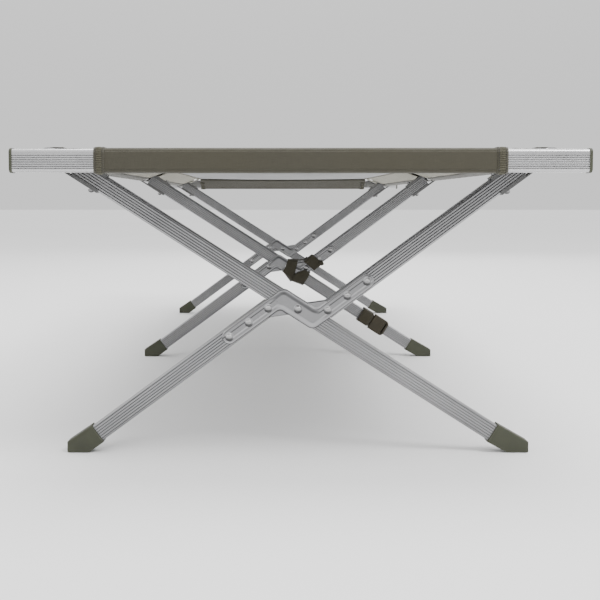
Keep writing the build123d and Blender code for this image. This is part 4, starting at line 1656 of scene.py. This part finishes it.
# ------------------------------------------------------------------ rivets
@dataclass
class Rivets:
    """Smooth-domed rivets and pins, one on each of the frame's own rivets and pins.

    Attributes:
        palette: The cot's finishes.
        rise: Height of a head.
        rim: Height of the upright rim under a head's dome.
        apart: Distance beyond which two points belong to different rivets.
        turns: Facets round a head.
    """

    palette: Palette
    rise: float = 2.5 * MM
    rim: float = 0.4 * MM
    apart: float = 12.0 * MM
    turns: int = 40

    def places(self, node: bpy.types.Object) -> list[tuple[np.ndarray, np.ndarray]]:
        """Find the rivets of a node.

        Args:
            node: A node whose solids all lie along Y.

        Returns:
            The low and high corner of each rivet.
        """
        points = np.array([tuple(node.matrix_world @ v.co) for v in node.data.vertices])
        made = []
        while len(points):
            near = np.hypot(points[:, 0] - points[0, 0], points[:, 2] - points[0, 2]) < self.apart
            made.append((points[near].min(axis=0), points[near].max(axis=0)))
            points = points[~near]
        return made

    def profile(self, radius: float, low: float, high: float) -> list[tuple[float, float]]:
        """Half section of a rivet with a head at both ends.

        Args:
            radius: The heads' radius.
            low: Place of the first head's crown.
            high: Place of the second head's crown.

        Returns:
            Radius and place along the rivet of each point.
        """
        swell = [(math.sin(t), math.cos(t)) for t in np.linspace(0.02, math.pi / 2, 12)]
        dome = self.rise - self.rim
        first = [(radius * s, low + dome * (1 - c)) for s, c in swell] + [(radius, low + self.rise)]
        last = [(radius, high - self.rise)] + [(radius * s, high - dome * (1 - c)) for s, c in swell[::-1]]
        return first + [(radius * 0.55, low + self.rise), (radius * 0.55, high - self.rise)] + last

    def build(self) -> None:
        """Make the rivets of every node that holds some."""
        angle = np.arange(self.turns) * 2 * math.pi / self.turns
        names = [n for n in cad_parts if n.endswith(("split_rivets", "long_bracket_pin"))]
        for name in names:
            points, faces = [], []
            for low, high in self.places(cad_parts[name]):
                section = self.profile((high[0] - low[0]) / 2, low[1], high[1])
                base = sum(len(p) for p in points)
                for radius, y in section:
                    ring = np.stack([(low[0] + high[0]) / 2 + radius * np.cos(angle), np.full(self.turns, y),
                                     (low[2] + high[2]) / 2 + radius * np.sin(angle)], axis=1)
                    points.append(ring)
                for r in range(len(section) - 1):
                    a = base + r * self.turns
                    faces += [(a + k, a + (k + 1) % self.turns, a + self.turns + (k + 1) % self.turns,
                               a + self.turns + k) for k in range(self.turns)]
                end = base + (len(section) - 1) * self.turns
                faces += [
                    [base + k for k in reversed(range(self.turns))],
                    [end + k for k in range(self.turns)],
                ]
            piece = Workshop.piece(
                f"{name}_domed", np.concatenate(points), faces, [self.palette["rivet_metal"]]
            )
            Workshop.face_out(piece)
            piece.data.set_sharp_from_angle(angle=math.radians(50))
            body = "split" if "split" in name else "long"
            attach(piece, f"{name.split('_')[0]}_{body}")
            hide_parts(name)
        LOG.info("rivets of %d nodes", len(names))


# ------------------------------------------------------------------ strap
@dataclass
class Strap:
    """Webbing wound round the middle crossing, its tail to the buckle, and the loop on the buckle's plug.

    Lengths are in millimetres from the crossing's pivot: x to the right, y towards the foot, z up.

    Attributes:
        palette: The cot's finishes.
        width: The webbing's width.
        thick: The webbing's thickness.
        lean: The long leg's slope in degrees.
        slope: The half legs' slope in degrees.
        offset: Distance of each half leg's axis from the pivot.
    """

    palette: Palette
    width: float = 25.0
    thick: float = 1.5
    lean: float = 32.6
    slope: float = 36.417
    offset: float = 25.6

    def run(self, name: str, knots: Sequence[Sequence[float]], body: str, closed: bool = True,
            steps: int = 9) -> bpy.types.Object:
        """Lay webbing along knots.

        Args:
            name: The piece's name.
            knots: For each knot its place, its outward direction and the webbing's width there.
            body: The body that it rides on.
            closed: Whether the webbing meets itself.
            steps: Points between two knots.

        Returns:
            The webbing.
        """
        curve = smooth_path(np.array(knots, float), steps, closed)
        out = curve[:, 3:6] / np.linalg.norm(curve[:, 3:6], axis=1, keepdims=True)
        low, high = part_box("middle_crank_plates")
        pivot = np.array([0.0, 0.0, (low.z + high.z) / 2])
        piece = Workshop.ribbon(name, curve[:, :3] * MM + pivot, out, curve[:, 6] * MM, self.thick * MM,
                                self.palette["strap_webbing_cloth"], closed)
        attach(piece, body)
        return piece

    def collar(
        self, axis: tuple[float, float], along: float, beside: float, half: float, front: float,
        back: float, skew: float = 0.0,
    ) -> list[list[float]]:
        """Knots of a turn round a leg.

        Args:
            axis: Unit direction of the leg, x and z.
            along: The turn's place along the leg.
            beside: Offset of the leg's axis, up and to the left.
            half: Half of the turn's width across the leg.
            front: Distance of the front run from the middle of the leg.
            back: Distance of the rear run.
            skew: How far the turn's top leans back along the leg.

        Returns:
            The knots.
        """
        up = (-axis[1], axis[0])
        knots = []
        for across, y, out_across, out_y in ((1.0, 0.0, 1.0, 0.0), (0.90, -0.90, 0.7, -0.7), (0.45, -1.0, 0.1, -1.0),
                                             (-0.45, -1.0, -0.1, -1.0), (-0.90, -0.90, -0.7, -0.7),
                                             (-1.0, 0.0, -1.0, 0.0), (-0.90, 0.90, -0.7, 0.7), (-0.45, 1.0, -0.1, 1.0),
                                             (0.45, 1.0, 0.1, 1.0), (0.90, 0.90, 0.7, 0.7)):
            a = beside + across * half
            s = along - skew * across
            deep = y * (front if y < 0 else back)
            knots.append([axis[0] * s + up[0] * a, deep, axis[1] * s + up[1] * a,
                          up[0] * out_across, out_y, up[1] * out_across, self.width])
        return knots

    def crossing_turns(self) -> None:
        """The three turns that lash the crossing, and the runs between them."""
        w, f = self.width, 15.7
        waist = [
            (12.2, 0, 17.6, 0, 0, 1, 21),
            (12.0, -f + 1, 15.8, 0, -0.7, 0.7, 22),
            (9.6, -f, 8, 0, -1, 0, 23),
            (6.4, -f, -2, 0, -1, 0, 24),
            (3.4, -f - 0.3, -11, 0, -1, 0, 27),
            (0.2, -f + 1.2, -18.4, -0.4, -0.8, -0.4, 31),
            (-2.6, 0, -20.6, -0.8, 0, -0.6, 31),
            (0.2, f - 1.2, -18.4, -0.4, 0.8, -0.4, 31),
            (3.4, f, -11, 0, 1, 0, 27),
            (6.4, f, -2, 0, 1, 0, w),
            (9.6, f, 8, 0, 1, 0, w),
            (12.0, f - 1, 15.8, 0, 0.7, 0.7, 22),
        ]
        self.run("strap_waist_turn", waist, "middle_split")
        arm = (math.cos(math.radians(self.slope)), math.sin(math.radians(self.slope)))
        piece = self.run(
            "strap_arm_turn", self.collar(arm, 53.0, -self.offset, 15.5, 16.0, 16.0, 4.0), "middle_split"
        )
        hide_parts("strap_webbing")
        lower = [
            (46.0, 0, -7.5, 0.5, 0, 0.8, 13),
            (43.5, -13.5, -11.0, 0.3, -0.8, 0.4, 15),
            (34.5, -16.8, -19.0, 0, -1, 0, 24),
            (25.0, -17.0, -27.0, 0, -1, -0.1, 29),
            (22.0, -14.0, -33.5, -0.2, -0.7, -0.7, 30),
            (21.5, 0, -36.0, -0.4, 0, -1, 29),
            (22.0, 14.0, -33.5, -0.2, 0.7, -0.7, 29),
            (26.0, 17.0, -27, 0, 1, 0, w),
            (34.5, 16.8, -19.0, 0, 1, 0, 24),
            (43.5, 13.5, -11.0, 0.3, 0.8, 0.4, 15),
        ]
        self.run("strap_leg_turn", lower, "middle_long")
        bridge = [
            (13.0, 0, 18.3, -0.1, 0, 1, 23),
            (21.0, 0, 16.4, 0.05, 0, 1, 22),
            (30.0, 0, 16.2, 0, 0, 1, 22),
            (38.0, 0, 18.6, -0.3, 0, 1, 23),
            (44.0, 0, 22.6, -0.5, 0, 0.8, 23),
        ]
        self.run("strap_bridge", bridge, "middle_split", closed=False)
        tag = [
            (72.5, -17.6, 14.0, 0, -1, 0, 8),
            (76.5, -18.2, 9.5, 0, -1, 0, 8),
            (79.0, -17.4, 5.5, 0.3, -1, 0, 7),
        ]
        self.run("strap_tag", tag, "middle_split", closed=False)

    def tail_and_bands(self) -> None:
        """The tail along the back of the long leg and the bands at the buckle."""
        c, s = math.cos(math.radians(self.lean)), math.sin(math.radians(self.lean))
        knots = []
        for along, y in ((40.0, 18.6), (52.0, 17.6), (64.0, 11.5), (80.0, 8.9), (110.0, 8.8), (150.0, 9.0), (190.0, 8.8),
                         (215.0, 8.8), (233.0, 9.6), (256.0, 10.4)):
            knots.append([c * along, y, -s * along, 0, 1, 0, self.width - 0.6])
        self.run("strap_tail", knots, "middle_long", closed=False)
        self.run("strap_hold_band", self.collar((c, -s), 245.5, 0.0, 14.0, 8.8, 9.0), "middle_long")
        piece = self.run(
            "strap_plug_band", self.collar((c, -s), 208.0, 0.0, 16.4, 19.6, 10.9), "buckle_plug_half"
        )
        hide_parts("strap_loop")

    def build(self) -> None:
        """Make the strap's pieces."""
        self.crossing_turns()
        self.tail_and_bands()
        LOG.info("strap")


# ------------------------------------------------------------------ studio
@dataclass
class Studio:
    """Pale floor, soft lights and the camera.

    Attributes:
        eye: The camera's place.
        pitch: How far it looks down, in degrees.
        shift: How far the frame's middle lies right of and above the line of sight, in frame widths.
        lens: Focal length for a 36 mm sensor.
    """

    eye: tuple[float, float, float] = (-0.038, -2.170, 0.355)
    pitch: float = 3.0
    shift: tuple[float, float] = (0.0487, -0.0841)
    lens: float = 57.66

    def light(self, name: str, place: Colour, aim: Colour, size: float, power: float) -> None:
        """Add a soft area light.

        Args:
            name: The light's name.
            place: Where it stands.
            aim: What it points at.
            size: Side of the light.
            power: Its power in watts.
        """
        data = bpy.data.lights.new(name, "AREA")
        data.shape, data.size, data.energy = "SQUARE", size, power
        lamp = bpy.data.objects.new(name, data)
        lamp.location = place
        lamp.rotation_mode = "QUATERNION"
        lamp.rotation_quaternion = (Vector(aim) - Vector(place)).to_track_quat("-Z", "Y")
        bpy.context.scene.collection.objects.link(lamp)

    def floor(self) -> None:
        """Add the pale floor."""
        size = 30.0
        points = np.array([(-size, -size, 0), (size, -size, 0), (size, size, 0), (-size, size, 0)], float)
        g = Graph("studio_floor")
        cloud = g.noise(g.place(), 0.6, 2.0)
        tone = g.mix(cloud, (0.78, 0.78, 0.78), (0.82, 0.82, 0.82))
        material = g.finish({"Roughness": 0.9, "Specular IOR Level": 0.1}, {"Base Color": tone})
        plane = Workshop.piece("studio_floor", points, [(0, 1, 2, 3)], [material])
        plane.location.z = -0.5 * MM

    @staticmethod
    def sky(tree: bpy.types.NodeTree) -> None:
        """Light the studio from a soft white dome that is brightest overhead.

        Args:
            tree: The world's node tree.
        """
        place = tree.nodes.new("ShaderNodeTexCoord")
        parts = tree.nodes.new("ShaderNodeSeparateXYZ")
        power = tree.nodes.new("ShaderNodeMapRange")
        power.interpolation_type = "SMOOTHSTEP"
        for key, value in {"From Min": 0.05, "From Max": 0.8, "To Min": 0.95, "To Max": 1.7}.items():
            power.inputs[key].default_value = value
        tree.links.new(place.outputs["Generated"], parts.inputs[0])
        tree.links.new(parts.outputs[2], power.inputs["Value"])
        tree.nodes["Background"].inputs["Color"].default_value = (1.0, 1.0, 1.0, 1.0)
        tree.links.new(power.outputs["Result"], tree.nodes["Background"].inputs["Strength"])

    def build(self) -> None:
        """Set up the studio."""
        self.floor()
        world = bpy.data.worlds.new("studio")
        world.use_nodes = True
        self.sky(world.node_tree)
        bpy.context.scene.world = world
        middle = (0.0, 0.0, 0.3)
        self.light("key", (1.8, -2.0, 3.2), middle, 1.4, 110.0)
        self.light("fill", (-2.6, -1.6, 1.8), middle, 1.6, 14.0)
        self.light("top", (0.0, 0.2, 3.6), middle, 2.0, 90.0)
        self.light("back", (0.6, 3.4, 2.2), middle, 2.4, 45.0)
        data = bpy.data.cameras.new("camera")
        data.lens, data.sensor_width = self.lens, 36.0
        data.clip_start, data.clip_end = 0.02, 100.0
        camera = bpy.data.objects.new("camera", data)
        data.shift_x, data.shift_y = self.shift
        camera.matrix_world = Matrix.Translation(self.eye) @ Matrix.Rotation(
            math.radians(90 - self.pitch), 4, "X"
        )
        bpy.context.scene.collection.objects.link(camera)
        bpy.context.scene.camera = camera


def main() -> None:
    logging.basicConfig(level=logging.INFO, format="%(name)s: %(message)s")
    studio = Studio()
    studio.build()
    palette = Palette()
    FrameDress(palette).build()
    CrankPlates(palette).build()
    Rivets(palette).build()
    Cover(palette).build()
    Strap(palette).build()


if __name__ == "__main__":
    main()
